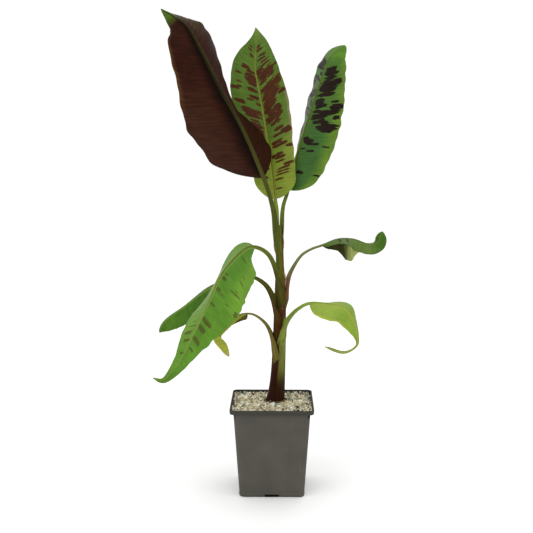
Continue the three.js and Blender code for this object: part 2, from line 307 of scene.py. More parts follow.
# ---- Finishes ----------------------------------------------------------------------------------
class Shader:
    """A material in the making, with short names for the nodes that the finishes use."""

    def __init__(self, name: str) -> None:
        """Starts an empty material."""
        self.material = bpy.data.materials.new(name)
        self.material.use_nodes = True
        self.tree = self.material.node_tree
        self.tree.nodes.clear()

    def node(self, kind: str, inputs: dict | None = None, **settings: object) -> bpy.types.Node:
        """Adds a node.

        Args:
            kind: the node's type name.
            inputs: what each socket takes: a number, a colour or another node's output.
            settings: the node's own options.

        Returns:
            The node.
        """
        made = self.tree.nodes.new(kind)
        for key, value in settings.items():
            setattr(made, key, value)
        for key, value in (inputs or {}).items():
            if isinstance(value, bpy.types.NodeSocket):
                self.tree.links.new(value, made.inputs[key])
            else:
                made.inputs[key].default_value = value
        return made

    def read(self, attribute: str) -> bpy.types.NodeSocket:
        """A number stored on the mesh."""
        return self.node("ShaderNodeAttribute", attribute_name=attribute).outputs["Fac"]

    def read_colour(self, attribute: str) -> bpy.types.NodeSocket:
        """A colour stored on the mesh."""
        return self.node("ShaderNodeAttribute", attribute_name=attribute).outputs["Color"]

    def place(self) -> bpy.types.NodeSocket:
        """The place on the object, in metres."""
        return self.node("ShaderNodeTexCoord").outputs["Object"]

    def flat(self, scale: Triple) -> bpy.types.NodeSocket:
        """The piece's flat map, stretched by scale."""
        source = self.node("ShaderNodeUVMap", uv_map=FLAT_MAP).outputs["UV"]
        return self.stretched(source, scale)

    def stretched(self, vector: bpy.types.NodeSocket, scale: Triple) -> bpy.types.NodeSocket:
        """A vector stretched by scale."""
        return self.node("ShaderNodeMapping", {"Vector": vector, "Scale": scale}).outputs["Vector"]

    def noise(
        self, vector: bpy.types.NodeSocket, scale: float, detail: float = 3.0
    ) -> bpy.types.NodeSocket:
        """Cloudy noise, about 0.5 on average."""
        inputs = {"Vector": vector, "Scale": scale, "Detail": detail, "Roughness": 0.55}
        return self.node("ShaderNodeTexNoise", inputs).outputs[0]

    def woven(self, across: float, along: float, detail: float = 3.0) -> bpy.types.NodeSocket:
        """Cloudy noise on the flat map, with about this many clouds to the metre each way."""
        return self.noise(self.flat((across, along, 1.0)), 1.0, detail)

    def arithmetic(self, kind: str, a: object, b: object) -> bpy.types.NodeSocket:
        """Adds, subtracts or multiplies two numbers."""
        return self.node("ShaderNodeMath", {0: a, 1: b}, operation=kind).outputs[0]

    def swing(self, noise: bpy.types.NodeSocket, reach: float) -> bpy.types.NodeSocket:
        """Noise times reach, centred on 0."""
        return self.arithmetic("MULTIPLY", self.arithmetic("SUBTRACT", noise, 0.5), reach)

    def step(
        self, value: object, low: float, high: float, start: float = 0.0, end: float = 1.0
    ) -> bpy.types.NodeSocket:
        """Goes smoothly from start to end as value goes from low to high."""
        inputs = {"Value": value, "From Min": low, "From Max": high, "To Min": start, "To Max": end}
        return self.node("ShaderNodeMapRange", inputs, interpolation_type="SMOOTHSTEP").outputs[0]

    def mix(
        self, share: object, first: object, second: object, how: str = "MIX"
    ) -> bpy.types.NodeSocket:
        """Blends two colours.

        Args:
            share: how much of the second.
            first: a paint code or a socket.
            second: a paint code or a socket.
            how: the blend's name.

        Returns:
            The colour.
        """
        inputs = {0: share, 6: painted(first), 7: painted(second)}
        return self.node("ShaderNodeMix", inputs, data_type="RGBA", blend_type=how).outputs[2]

    def shade(self, base: object, value: bpy.types.NodeSocket) -> bpy.types.NodeSocket:
        """Makes a colour darker or lighter by a number."""
        grey = self.node("ShaderNodeCombineXYZ", {0: value, 1: value, 2: value}).outputs[0]
        return self.mix(1.0, base, grey, "MULTIPLY")

    def bump(
        self, height: bpy.types.NodeSocket, depth: float, strength: float
    ) -> bpy.types.NodeSocket:
        """Fine relief, with its depth in mm."""
        inputs = {"Height": height, "Distance": depth * MM, "Strength": strength}
        return self.node("ShaderNodeBump", inputs).outputs["Normal"]

    def finish(
        self,
        base: object,
        roughness: object,
        specular: float = 0.5,
        normal: bpy.types.NodeSocket | None = None,
    ) -> bpy.types.Material:
        """Ends the material in one surface shader.

        Args:
            base: its colour.
            roughness: how matt it is.
            specular: how strongly it mirrors light.
            normal: its fine relief, if it has any.

        Returns:
            The material.
        """
        inputs = {"Base Color": base, "Roughness": roughness, "Specular IOR Level": specular}
        if normal is not None:
            inputs["Normal"] = normal
        surface = self.node("ShaderNodeBsdfPrincipled", inputs)
        self.node("ShaderNodeOutputMaterial", {"Surface": surface.outputs["BSDF"]})
        return self.material


def painted(value: object) -> object:
    """Turns a paint code into a socket's colour and leaves anything else as it is."""
    if isinstance(value, str):
        return (*(float(part) for part in colour(value)), 1.0)
    return value


@dataclass(frozen=True)
class PotPlastic:
    """Matt dark grey moulded plastic, a little dusty and rubbed, with a darker rim.

    rim_from is in metres. A span is the stretch of a noise over which its effect comes in.
    """

    body: str = "#46443d"
    dust: str = "#504d46"
    scuff: str = "#625f57"
    rim: str = "#2f2d27"
    rim_from: float = 0.1136
    rim_strength: float = 0.75
    cloud_scale: float = 30.0
    rub_scale: float = 260.0
    rub_stretch: Triple = (1.0, 1.0, 0.12)
    rub_strength: float = 0.25
    grain_scale: float = 1700.0
    grain_strength: float = 0.14
    grain_depth: float = 0.12
    dust_span: Pair = (0.35, 0.75)
    rub_span: Pair = (0.6, 0.8)
    grain_span: Pair = (0.4, 0.8)
    roughness: Pair = (0.52, 0.66)

    def material(self) -> bpy.types.Material:
        """Builds the material."""
        shader = Shader("pot_plastic")
        place = shader.place()
        cloud = shader.noise(place, self.cloud_scale, 4.0)
        base = shader.mix(shader.step(cloud, *self.dust_span), self.body, self.dust)
        rubbed = shader.noise(shader.stretched(place, self.rub_stretch), self.rub_scale, 4.0)
        base = shader.mix(shader.step(rubbed, *self.rub_span, 0.0, self.rub_strength), base, self.scuff)
        grain = shader.noise(place, self.grain_scale, 2.0)
        base = shader.mix(shader.step(grain, *self.grain_span, 0.0, self.grain_strength), base, self.scuff)
        height = shader.node("ShaderNodeSeparateXYZ", {0: place}).outputs["Z"]
        in_rim = shader.step(height, self.rim_from, self.rim_from + 0.5 * MM, 0.0, self.rim_strength)
        base = shader.mix(in_rim, base, self.rim)
        roughness = shader.step(cloud, 0.3, 0.7, *self.roughness)
        return shader.finish(base, roughness, 0.2, shader.bump(grain, self.grain_depth, 0.6))


@dataclass(frozen=True)
class CrumbFinish:
    """A dull, grainy finish for grit, mix and dry scraps."""

    name: str
    light: str
    dark: str
    scale: float = 900.0
    roughness: float = 0.9
    span: Pair = (0.32, 0.68)
    grain: float = 2.5
    grain_depth: float = 0.2

    def material(self) -> bpy.types.Material:
        """Builds the material."""
        shader = Shader(self.name)
        place = shader.place()
        cloud = shader.noise(place, self.scale, 4.0)
        base = shader.mix(shader.step(cloud, *self.span), self.dark, self.light)
        normal = shader.bump(shader.noise(place, self.scale * self.grain), self.grain_depth, 0.7)
        return shader.finish(base, self.roughness, 0.15, normal)


@dataclass(frozen=True)
class SkinFinish:
    """The waxy skin of stem and stalks: the stored tint, with fine fibres and dark flecks."""

    name: str
    fleck: str = "#2a140c"
    fleck_share: float = 0.6
    fibre_share: float = 0.5
    fibre_weave: Pair = (900.0, 26.0)
    fleck_weave: Pair = (120.0, 40.0)
    roughness: Pair = (0.36, 0.52)

    def material(self) -> bpy.types.Material:
        """Builds the material."""
        shader = Shader(self.name)
        fibres = shader.woven(*self.fibre_weave, 4.0)
        cloud = shader.woven(*self.fleck_weave, 4.0)
        in_fibre = shader.step(fibres, 0.4, 0.72, 0.0, self.fibre_share)
        base = shader.mix(in_fibre, shader.read_colour(TINT), self.fleck)
        base = shader.mix(shader.step(cloud, 0.56, 0.7, 0.0, self.fleck_share), base, self.fleck)
        roughness = shader.step(cloud, 0.3, 0.7, *self.roughness)
        return shader.finish(base, roughness, 0.04, shader.bump(fibres, 0.25, 0.8))


@dataclass(frozen=True)
class BladeFinish:
    """The two faces of a leaf blade.

    A weave is how many clouds its noise has to the metre, across the blade and along it.
    """

    slot: str
    blotch: str = "#3d1d0c"
    blotch_light: str = "#5a3014"
    rib: str = "#8ea04c"
    rib_middle: str = "#6d5a30"
    streak: float = 0.5
    band: float = 0.1
    ragged: float = 3.4
    frayed: float = 1.4
    under_band: float = 0.25
    vein_weave: Pair = (45.0, 1400.0)
    band_weave: Pair = (60.0, 330.0)
    flame_weave: Pair = (95.0, 460.0)
    patch_weave: Pair = (45.0, 40.0)
    under_vein_weave: Pair = (30.0, 1500.0)
    under_band_weave: Pair = (40.0, 230.0)
    patches: Pair = (0.88, 1.1)
    under_veins: Pair = (0.78, 1.2)
    roughness: Pair = (0.38, 0.52)
    under_roughness: float = 0.55

    def upper(self) -> bpy.types.Material:
        """Builds the upper face: tints, blotches that follow the veins, and the pale rib."""
        shader = Shader(f"{self.slot}_upper")
        veins = shader.woven(*self.vein_weave)
        bands = shader.woven(*self.band_weave, 4.0)
        flames = shader.woven(*self.flame_weave, 4.0)
        patches = shader.woven(*self.patch_weave)
        base = shader.read_colour(TINT)
        base = shader.shade(base, shader.step(bands, 0.3, 0.7, 1.0 - self.band, 1.0 + self.band))
        fine = (1.0 - 0.26 * self.streak, 1.0 + 0.16 * self.streak)
        base = shader.shade(base, shader.step(veins, 0.3, 0.7, *fine))
        base = shader.shade(base, shader.step(patches, 0.3, 0.7, *self.patches))
        fray = shader.arithmetic("ADD", shader.swing(flames, self.ragged), shader.swing(veins, self.frayed))
        inside = shader.step(shader.arithmetic("ADD", shader.read(BLOTCH), fray), 0.0, 0.2)
        dark = shader.mix(shader.step(veins, 0.35, 0.7), self.blotch, self.blotch_light)
        base = shader.mix(shader.arithmetic("MULTIPLY", inside, shader.read(BLOTCH_DEPTH)), base, dark)
        from_rib = shader.read(RIB_SHARE)
        rib = shader.mix(shader.step(from_rib, 0.15, 0.45), self.rib_middle, self.rib)
        base = shader.mix(shader.step(from_rib, 0.8, 1.2, 1.0, 0.0), base, rib)
        roughness = shader.step(bands, 0.3, 0.7, *self.roughness)
        return shader.finish(base, roughness, 0.1, shader.bump(veins, 0.12, 0.7))

    def lower(self) -> bpy.types.Material:
        """Builds the underside: its own tint with fine veins from rib to margin."""
        shader = Shader(f"{self.slot}_lower")
        veins = shader.woven(*self.under_vein_weave)
        bands = shader.woven(*self.under_band_weave, 4.0)
        shade = shader.step(bands, 0.3, 0.7, 1.0 - self.under_band, 1.0 + self.under_band)
        base = shader.shade(shader.read_colour(UNDER_TINT), shade)
        base = shader.shade(base, shader.step(veins, 0.32, 0.68, *self.under_veins))
        return shader.finish(base, self.under_roughness, 0.04, shader.bump(veins, 0.1, 0.7))


# ---- The pot -----------------------------------------------------------------------------------
@dataclass
class Pot:
    """The square tapered nursery pot, with its stepped rim and four drainage slots.

    It stands on a ring round its foot, and its floor is foot_lift higher. slot_reach is how far in
    from the wall a slot is cut, and band_height the top of the band at the foot.
    """

    height: float = 120.0
    rim_width: float = 110.0
    rim_depth: float = 6.0
    rim_overhang: float = 4.0
    base_width: float = 86.0
    wall: float = 1.5
    floor: float = 2.0
    foot_round: float = 3.0
    foot_ring: float = 8.0
    foot_lift: float = 1.0
    corner_radius: float = 7.0
    slot_width: float = 19.0
    slot_height: float = 4.0
    slot_reach: float = 5.0
    band_height: float = 5.0
    band_depth: float = 0.4
    arc_steps: int = 5
    corner_steps: int = 10
    support: float = 0.8
    sharp: float = 40.0
    plug_depth: float = 4.0
    plug_jitter: float = 0.12
    plug_cuts: int = 4
    seed: int = 17

    def wall_half(self, z: float) -> float:
        """Half the pot's outer width at a height."""
        top = self.rim_width / 2 - self.rim_overhang
        return self.base_width / 2 + (top - self.base_width / 2) * z / self.height

    @property
    def ledge(self) -> float:
        """Height of the step inside the rim."""
        return self.height - self.rim_depth + self.wall

    def inner_half(self, z: float) -> float:
        """Half the width of what fills the pot at a height."""
        return self.wall_half(z) - self.wall - GAP

    def profile(self) -> list[Triple]:
        """The section's corners, from the floor's underside round the wall to the floor's top.

        Returns:
            The half-width, height and rounding of each.
        """
        rim_bottom = self.height - self.rim_depth
        rim = self.rim_width / 2
        foot = self.base_width / 2
        band = self.band_height
        return [
            (0.0, self.foot_lift, 0.0),
            (foot - self.foot_ring - self.foot_lift, self.foot_lift, 0.4),
            (foot - self.foot_ring, 0.0, 0.4),
            (foot - 0.1, 0.0, self.foot_round),
            (self.wall_half(band), band, 0.3),
            (self.wall_half(band) - self.band_depth, band + 0.5, 0.3),
            (self.wall_half(rim_bottom) - self.band_depth, rim_bottom - 0.2, 0.8),
            (rim - 0.3, rim_bottom, 0.6),
            (rim, self.height, 0.7),
            (rim - self.wall, self.height, 0.7),
            (rim - self.wall, self.ledge, 1.2),
            (self.wall_half(self.ledge) - self.wall, self.ledge, 1.0),
            (self.wall_half(self.floor) - self.wall, self.floor, 2.0),
            (0.0, self.floor, 0.0),
        ]

    def section(self) -> Array:
        """Rounds the section's corners, with a supporting point on each side of every round.

        Returns:
            Rows of half-width and height.
        """
        corners = self.profile()
        points = [np.array(corners[0][:2])]
        for before, here, after in zip(corners, corners[1:], corners[2:]):
            middle = np.array(here[:2])
            back = np.array(before[:2]) - middle
            ahead = np.array(after[:2]) - middle
            reach = min(here[2], 0.45 * np.linalg.norm(back), 0.45 * np.linalg.norm(ahead))
            start = middle + unit(back) * reach
            end = middle + unit(ahead) * reach
            for share in np.linspace(0.0, 1.0, self.arc_steps + 1):
                inward = between(start, middle, share)
                outward = between(middle, end, share)
                points.append(between(inward, outward, share))
        points.append(np.array(corners[-1][:2]))
        return self.supported(np.array(points))

    def supported(self, points: Array) -> Array:
        """Adds a point near each end of every long stretch, so that flat walls stay flat."""
        rows = [points[0]]
        for start, end in zip(points, points[1:]):
            length = np.linalg.norm(end - start)
            if length > 3 * self.support:
                rows.append(start + (end - start) * self.support / length)
                rows.append(end - (end - start) * self.support / length)
            rows.append(end)
        return np.array(rows)

    def around(self, half: float) -> Array:
        """Points round a square of this half-width with rounded corners, back to the first.

        Args:
            half: half the square's width.

        Returns:
            Rows of x and y, anticlockwise from the middle of the +X side.
        """
        radius = min(self.corner_radius, half)
        straight = half - radius
        turns = np.linspace(0.0, math.pi / 2, self.corner_steps + 1)
        arc = np.stack([straight + radius * np.cos(turns), straight + radius * np.sin(turns)], axis=1)
        before = [(half, 0.0), (half, straight * 0.5), (half, straight * 0.95)]
        after = [(straight * 0.95, half), (straight * 0.5, half)]
        quarter = np.vstack([before, arc, after])
        rows = []
        for corner in range(4):
            cos = round(math.cos(corner * math.pi / 2))
            sin = round(math.sin(corner * math.pi / 2))
            rows.append(quarter @ np.array([[cos, sin], [-sin, cos]]))
        return np.vstack([*rows, rows[0][:1]])

    def lofted(self, section: Array) -> bpy.types.Mesh:
        """Carries a section round the rounded square.

        Args:
            section: rows of half-width and height.

        Returns:
            The closed mesh.
        """
        outlines = [self.around(half) for half in section[:, 0]]
        rings = np.array([np.insert(outline, 2, z, axis=1) for outline, z in zip(outlines, section[:, 1])])
        rows, columns = rings.shape[0] - 1, rings.shape[1] - 1

        def place(across: Array, along: Array) -> Array:
            """Picks the ring point of each grid corner."""
            return rings[np.rint(along * rows).astype(int), np.rint(across * columns).astype(int)]

        mesh = bent_grid(columns, rows, place)
        close_tube(mesh)
        return mesh

    def slot_blocks(self, heap: bmesh.types.BMesh, place: Triple, size: Triple) -> list:
        """Adds one block at each side's slot.

        Args:
            heap: takes the blocks.
            place: the middle of the block on the +X side.
            size: its size.

        Returns:
            The corners of all four.
        """
        corners = []
        for side in range(4):
            turn = Matrix.Rotation(side * math.pi / 2, 4, "Z")
            matrix = turn @ Matrix.Translation(place) @ Matrix.Diagonal((*size, 1.0))
            corners += bmesh.ops.create_cube(heap, size=1.0, matrix=matrix)["verts"]
        return corners

    def cut_slots(self, piece: bpy.types.Object) -> None:
        """Cuts the four drainage slots through wall and floor, and bakes the cuts into the mesh."""
        heap = bmesh.new()
        middle = self.base_width / 2 - self.slot_reach + self.slot_height * 2
        size = (self.slot_height * 4, self.slot_width, self.slot_height * 2)
        corners = self.slot_blocks(heap, (middle, 0.0, 0.0), size)
        edges = list({edge for corner in corners for edge in corner.link_edges})
        rounding = {"offset": 0.5, "affect": "EDGES", "segments": 2, "profile": 0.5, "material": -1}
        bmesh.ops.bevel(heap, geom=edges, **rounding)
        cutter = add_object("slot_cutter", mesh_from(heap, "slot_cutter"))
        cut = piece.modifiers.new("slots", "BOOLEAN")
        cut.object = cutter
        cut.operation = "DIFFERENCE"
        cut.solver = "EXACT"
        graph = bpy.context.evaluated_depsgraph_get()
        cut_mesh = bpy.data.meshes.new_from_object(piece.evaluated_get(graph))
        piece.modifiers.remove(cut)
        piece.data = cut_mesh
        bpy.data.objects.remove(cutter)

    def build(self) -> None:
        """Makes the pot, the mix inside it and the lumps of mix in its slots."""
        shell = self.lofted(self.section())
        piece = add_piece("pot_shell", shell, [PotPlastic().material()], ["pot"])
        self.cut_slots(piece)
        piece.data.shade_smooth()
        piece.data.set_sharp_from_angle(angle=math.radians(self.sharp))
        self.build_mix()
        self.build_plugs()

    def build_mix(self) -> None:
        """Fills the pot with mix, from its floor to the grit."""
        bottom = self.floor + GAP
        top = Grit().bottom - GAP
        chamfer = 2.0
        section = np.array([
            (0.0, bottom),
            (self.inner_half(bottom) - chamfer, bottom),
            (self.inner_half(bottom + chamfer), bottom + chamfer),
            (self.inner_half(top), top),
            (0.0, top),
        ])
        mix = CrumbFinish("potting_mix", "#1f150d", "#080504", 260.0)
        materials = [mix.material()]
        add_piece("mix_fill", self.lofted(section), materials, ["potting_mix"], self.sharp)

    def build_plugs(self) -> None:
        """Fills the drainage slots with lumps of mix, made near-black as painted shade inside the slots."""
        draw = np.random.default_rng(self.seed)
        heap = bmesh.new()
        middle = self.base_width / 2 - self.slot_reach + GAP + self.plug_depth / 2
        size = (self.plug_depth, self.slot_width - 2 * GAP, self.slot_height - 2 * GAP)
        self.slot_blocks(heap, (middle, 0.0, self.slot_height / 2), size)
        bmesh.ops.subdivide_edges(heap, edges=list(heap.edges), cuts=self.plug_cuts, use_grid_fill=True)
        for vert in heap.verts:
            vert.co += Vector(draw.uniform(-self.plug_jitter, self.plug_jitter, size=3))
        # The lumps of mix are real, but their near-black colour, darker than the mix itself, is painted
        # shade inside the slots.
        slot_shade = CrumbFinish("slot_shade_mix", "#0a0604", "#020101", 500.0)
        mesh = mesh_from(heap, "plugs")
        add_piece("slot_mix", mesh, [slot_shade.material()], ["potting_mix"], 30.0)


# ---- The grit ----------------------------------------------------------------------------------
class GrainTint(Enum):
    """The kinds of crushed stone, each with a light and a dark paint code and its share."""

    CREAM = ("cream", "#ece6cd", "#b4ab89", 36)
    BEIGE = ("beige", "#d6cba6", "#968a66", 26)
    PALE = ("pale", "#f8f6ec", "#d0cab4", 13)
    STONE = ("stone", "#b9b59e", "#7c7762", 13)
    SAGE = ("sage", "#a5ae98", "#68735f", 7)
    BUFF = ("buff", "#b08a58", "#7d5a34", 2)
    RUST = ("rust", "#a8562c", "#6f3216", 0.5)
    COAL = ("coal", "#3a352c", "#17130e", 4)


@dataclass
class Grit:
    """The domed layer of crushed stone on top of the mix, which ends a little under the rim.

    bed_drop is how far the dark bed, whose colour is painted shade between the grains, lies under the
    surface, and layers how deep the grains lie.
    Sage grains are commoner in one corner and rusty ones behind the stem: the weights are their
    shares elsewhere and there.
    """

    edge_top: float = 116.4
    crown_top: float = 118.0
    bottom: float = 101.0
    crown_radius: float = 16.0
    slope_radius: float = 50.0
    half_width: float = 53.2
    wall_half: float = 48.9
    ledge: float = 115.5
    ledge_grain: float = 1.2
    spacing: float = 3.5
    grain: tuple[float, float] = (1.3, 2.7)
    bed_drop: float = 3.4
    layers: tuple[float, ...] = (-3.0, -1.0)
    jitter: float = 0.24
    stem_middle: Pair = (4.0, 8.0)
    stem_keep_out: float = 9.0
    scatter: float = 0.9
    unevenness: float = 0.6
    ledge_strip: float = 2.0
    bed_cells: int = 60
    bed_depth: float = 4.0
    sage_from: Pair = (12.0, 4.0)
    sage_weights: Pair = (0.5, 7.0)
    rust_middle: Pair = (4.0, 20.0)
    rust_reach: float = 11.0
    rust_weights: Pair = (0.6, 20.0)
    grain_shape: Pair = (0.75, 1.3)
    seed: int = 11

    def top(self, distance: Array) -> Array:
        """Height of the grit's surface at a distance from the middle."""
        drop = smooth(self.crown_radius, self.slope_radius, distance)
        return between(self.crown_top, self.edge_top, drop)

    def build_bed(self) -> None:
        """Makes the dark bed that closes the gaps between the grains; its colour is painted shade in the
        gaps.
        """

        def place(across: Array, along: Array) -> Array:
            """Lays the grid over the dome, a little under the grains."""
            x = (across * 2 - 1) * self.wall_half
            y = (along * 2 - 1) * self.wall_half
            uneven = 0.5 * wobble(3, x + 0.4 * y, 9.0) + 0.5 * wobble(4, y - 0.3 * x, 8.0)
            z = self.top(np.hypot(x, y)) - self.bed_drop + self.unevenness * uneven
            return np.stack([x, y, z], axis=1)

        mesh = bent_grid(self.bed_cells, self.bed_cells, place)
        # Painted shade: the bed's near-black browns stand for the shade in the gaps between the grains.
        bed = CrumbFinish("grit_shade_bed", "#4a4232", "#0f0c08", 420.0)
        piece = add_piece("grit_shade_bed", mesh, [bed.material()], ["grit_top"])
        thicken(piece, self.bed_depth, -1.0)

    def on_ledge(self, x: float, y: float) -> bool:
        """Whether a place is over the step inside the rim."""
        return max(abs(x), abs(y)) > self.wall_half - self.ledge_strip

    def places(self) -> list[Vector]:
        """Lays out the grains' middles, layer on layer.

        Returns:
            The middles, in mm.
        """
        draw = np.random.default_rng(self.seed)
        found = []
        count = int(2 * self.half_width / self.spacing)
        for layer, depth in enumerate(self.layers):
            for row in range(count + 1):
                for column in range(count + 1):
                    shift = 0.5 * ((row + layer) % 2)
                    x = (column + shift) * self.spacing - self.half_width + draw.normal(0.0, self.scatter)
                    y = (row + 0.5 * layer) * self.spacing - self.half_width + draw.normal(0.0, self.scatter)
                    z = float(self.top(np.hypot(x, y))) + depth + draw.normal(0.0, self.unevenness)
                    if max(abs(x), abs(y)) > self.half_width - self.ledge_grain:
                        continue
                    if math.dist((x, y), self.stem_middle) < self.stem_keep_out:
                        continue
                    if self.on_ledge(x, y):
                        if layer == 0:
                            continue
                        z = self.ledge + self.ledge_grain + GAP
                    found.append(Vector((x, y, z)))
        return found

    def build_grains(self) -> None:
        """Makes the grains, one piece for each kind of stone."""
        draw = np.random.default_rng(self.seed + 1)
        kinds = list(GrainTint)
        weights = np.array([kind.value[3] for kind in kinds], float)
        heaps = {kind: bmesh.new() for kind in kinds}
        for middle in self.places():
            weight = weights.copy()
            green_side = middle.x > self.sage_from[0] and middle.y > self.sage_from[1]
            weight[kinds.index(GrainTint.SAGE)] *= self.sage_weights[green_side]
            by_stem = math.dist(middle.xy, self.rust_middle) < self.rust_reach
            weight[kinds.index(GrainTint.RUST)] *= self.rust_weights[by_stem]
            kind = kinds[draw.choice(len(kinds), p=weight / weight.sum())]
            radius = draw.uniform(*self.grain)
            if self.on_ledge(middle.x, middle.y):
                radius = min(radius, self.ledge_grain)
            size = [radius * draw.uniform(*self.grain_shape) for _ in range(3)]
            turn = Matrix.Rotation(draw.uniform(0, math.tau), 4, Vector(draw.normal(size=3)))
            for corner in add_lump(heaps[kind], middle, turn, size):
                corner.co += Vector(draw.normal(0.0, self.jitter * radius, size=3))
        for kind, heap in heaps.items():
            label, light, dark, _ = kind.value
            finish = CrumbFinish(f"grit_{label}", light, dark)
            mesh = mesh_from(heap, "grains")
            add_piece(f"grit_{label}", mesh, [finish.material()], ["grit_top"], 20.0)

    def build(self) -> None:
        """Makes the bed and the grains."""
        self.build_bed()
        self.build_grains()


# ---- The stem ----------------------------------------------------------------------------------
@dataclass(frozen=True)
class Sheath:
    """One leaf's base, wrapped round the stem up to where its stalk leaves.

    spread is how far round it reaches to each side of its heading, at its foot and at its top.
    """

    heading: float
    top: float
    spread: Pair
    foot: str
    middle: str
    head: str
    edge: str = "#7a4a34"


@dataclass
class Stem:
    """The false stem: rolled leaf bases, one over the other.

    path and radii are given at even heights from the grit to the fork. sunk is how far the skin
    reaches under the grit, and crown how far it closes over the fork.
    """

    ground_z: float = 118.3
    fork_z: float = 342.0
    path: tuple = ((4, 8), (7.5, 8), (9.2, 8), (10.2, 8), (10.4, 7.5), (10, 6), (8, 3))
    radii: tuple = (9.4, 8.7, 8.3, 8.0, 7.2, 5.6, 5.5)
    flare: float = 3.0
    flare_height: float = 12.0
    sunk: float = 7.0
    crown: float = 13.0
    step_out: float = 0.5
    collar: float = 26.0
    margin_reach: float = 5.0
    waver: float = 3.0
    fibre: float = 0.1
    paint: str = "#5d6422"
    foot_paint: str = "#2a1103"
    foot_fade: Pair = (14.0, 48.0)
    map_width: float = 0.05
    columns: int = 128
    rows: int = 260
    sheaths: tuple[Sheath, ...] = (
        Sheath(-75, 341, (150, 100), "#32130a", "#57300f", "#63681f", "#6a3a20"),
        Sheath(-100, 304, (150, 62), "#32130a", "#54501a", "#5a5f1c", "#341a0a"),
        Sheath(15, 296, (140, 54), "#260d05", "#43200c", "#6a3a22", "#b0906c"),
        Sheath(-125, 262, (135, 52), "#2a1006", "#43200c", "#553c14", "#301607"),
        Sheath(-150, 216, (70, 58), "#200a04", "#35180a", "#4c4018", "#4a4420"),
        Sheath(-42, 232, (50, 44), "#2c1207", "#6a7030", "#76803a", "#3a2c12"),
    )

    def share(self, z: Array) -> Array:
        """How far up the stem a height is."""
        return (np.asarray(z, float) - self.ground_z) / (self.fork_z - self.ground_z)

    def centre(self, z: Array) -> Array:
        """The middle of the stem at each height."""
        return keyed(self.path, self.share(z))

    def radius(self, z: Array) -> Array:
        """The stem's radius at each height."""
        above = np.maximum(np.asarray(z, float) - self.ground_z, 0.0)
        return keyed(self.radii, self.share(z))[:, 0] + self.flare * np.exp(-above / self.flare_height)

    def around(self, turn: Array, reach: Array, z: Array) -> Array:
        """Places that stand off the stem's middle line.

        Args:
            turn: angles round the stem, in degrees.
            reach: distances from its middle line.
            z: heights.

        Returns:
            Positions in mm.
        """
        angle = np.radians(turn)
        spots = np.column_stack([reach * np.cos(angle), reach * np.sin(angle), z])
        spots[:, :2] += self.centre(z)
        return spots

    def rise(self, sheath: Sheath, z: Array) -> Array:
        """How far up a sheath each height is, from 0 to 1."""
        return np.clip((z - self.ground_z) / (sheath.top - self.ground_z), 0.0, 1.0)

    def cover(self, sheath: Sheath, turn: Array, z: Array) -> tuple[Array, Array]:
        """Where a sheath covers the stem.

        Args:
            sheath: the sheath.
            turn: angle round the stem, in degrees.
            z: height.

        Returns:
            Its cover from 0 to 1, and its margin from 0 to 1.
        """
        away = np.abs((turn - sheath.heading + 180) % 360 - 180)
        spread = between(*sheath.spread, self.rise(sheath, z) ** 1.5)
        spread = spread + self.waver * wobble(int(sheath.top), z, 40.0)
        side = 1 - smooth(-4.0, 4.0, away - spread)
        top = sheath.top - self.collar * (away / spread) ** 2
        lid = 1 - smooth(-2.5, 1.5, z - top)
        margin = np.exp(-(((away - spread) / self.margin_reach) ** 2)) * lid
        return side * lid, margin

    def skin(self, turn: Array, z: Array) -> tuple[Array, Array]:
        """Adds up the sheaths from the innermost to the outermost.

        Args:
            turn: angle round the stem, in degrees.
            z: height.

        Returns:
            How far the skin stands out, in mm, and its colours.
        """
        tints = np.repeat(colour(self.paint)[None], len(z), axis=0)
        out = np.full(len(z), -1.0)
        for sheath in self.sheaths:
            cover, margin = self.cover(sheath, turn, z)
            rise = self.rise(sheath, z)
            own = keyed([colour(sheath.foot), colour(sheath.middle), colour(sheath.head)], rise)
            own = between(own, colour(sheath.edge), 0.75 * margin[:, None])
            tints = between(tints, np.clip(own, 0, 1), cover[:, None])
            out = out + self.step_out * cover * (0.6 + 0.4 * rise)
        low, high = self.foot_fade
        old = 1 - smooth(self.ground_z + low, self.ground_z + high, z)
        tints = between(tints, colour(self.foot_paint), 0.9 * old[:, None])
        return out, tints

    def build(self) -> None:
        """Makes the stem's skin."""
        low, high = self.ground_z - self.sunk, self.fork_z + self.crown

        def heights(along: Array) -> Array:
            """Rows up the stem, then in over its top."""
            return low + (high - low) * np.minimum(along * 1.04, 1.0)

        def place(across: Array, along: Array) -> Array:
            """Wraps the grid round the stem."""
            z = heights(along)
            turn = across * 360.0
            out, _ = self.skin(turn, z)
            fibre = self.fibre * wobble(21, turn + 4 * wobble(22, z, 60.0), 9.0, 7)
            closing = np.sqrt(np.clip((1.0 - along) / 0.07, 0.0, 1.0))
            reach = (self.radius(np.minimum(z, self.fork_z)) + out + fibre) * closing
            return self.around(turn, reach, z)

        def flat_map(across: Array, along: Array) -> Array:
            """Maps the skin by its share round the stem and by its height."""
            return np.stack([across * self.map_width, heights(along) * MM], axis=1)

        mesh = bent_grid(self.columns, self.rows, place, flat_map)
        across, z = flat_map_of(mesh, self.map_width, MM)
        _, tints = self.skin(across * 360.0, z)
        set_tint(mesh, TINT, tints)
        close_tube(mesh)
        add_piece("stem_skin", mesh, [SkinFinish("stem_skin").material()], ["pseudostem"])


# ---- The leaves --------------------------------------------------------------------------------
@dataclass(frozen=True)
class Half:
    """One half of a blade: its widths from foot to tip, and its lift in degrees at rib and margin."""

    widths: tuple[float, ...]
    lift: tuple[Pair, ...]


@dataclass(frozen=True)
class Blotch:
    """A dark mark that follows the veins.

    along is a share of the blade's length. near and far are its ends' distances from the rib, which
    are negative on the blade's left half, and half is half its height, all in mm.
    """

    along: float
    near: float
    far: float
    half: float


Window = tuple[float, float, float, float]
ALL: Window = (-3.0, -2.0, 2.0, 3.0)


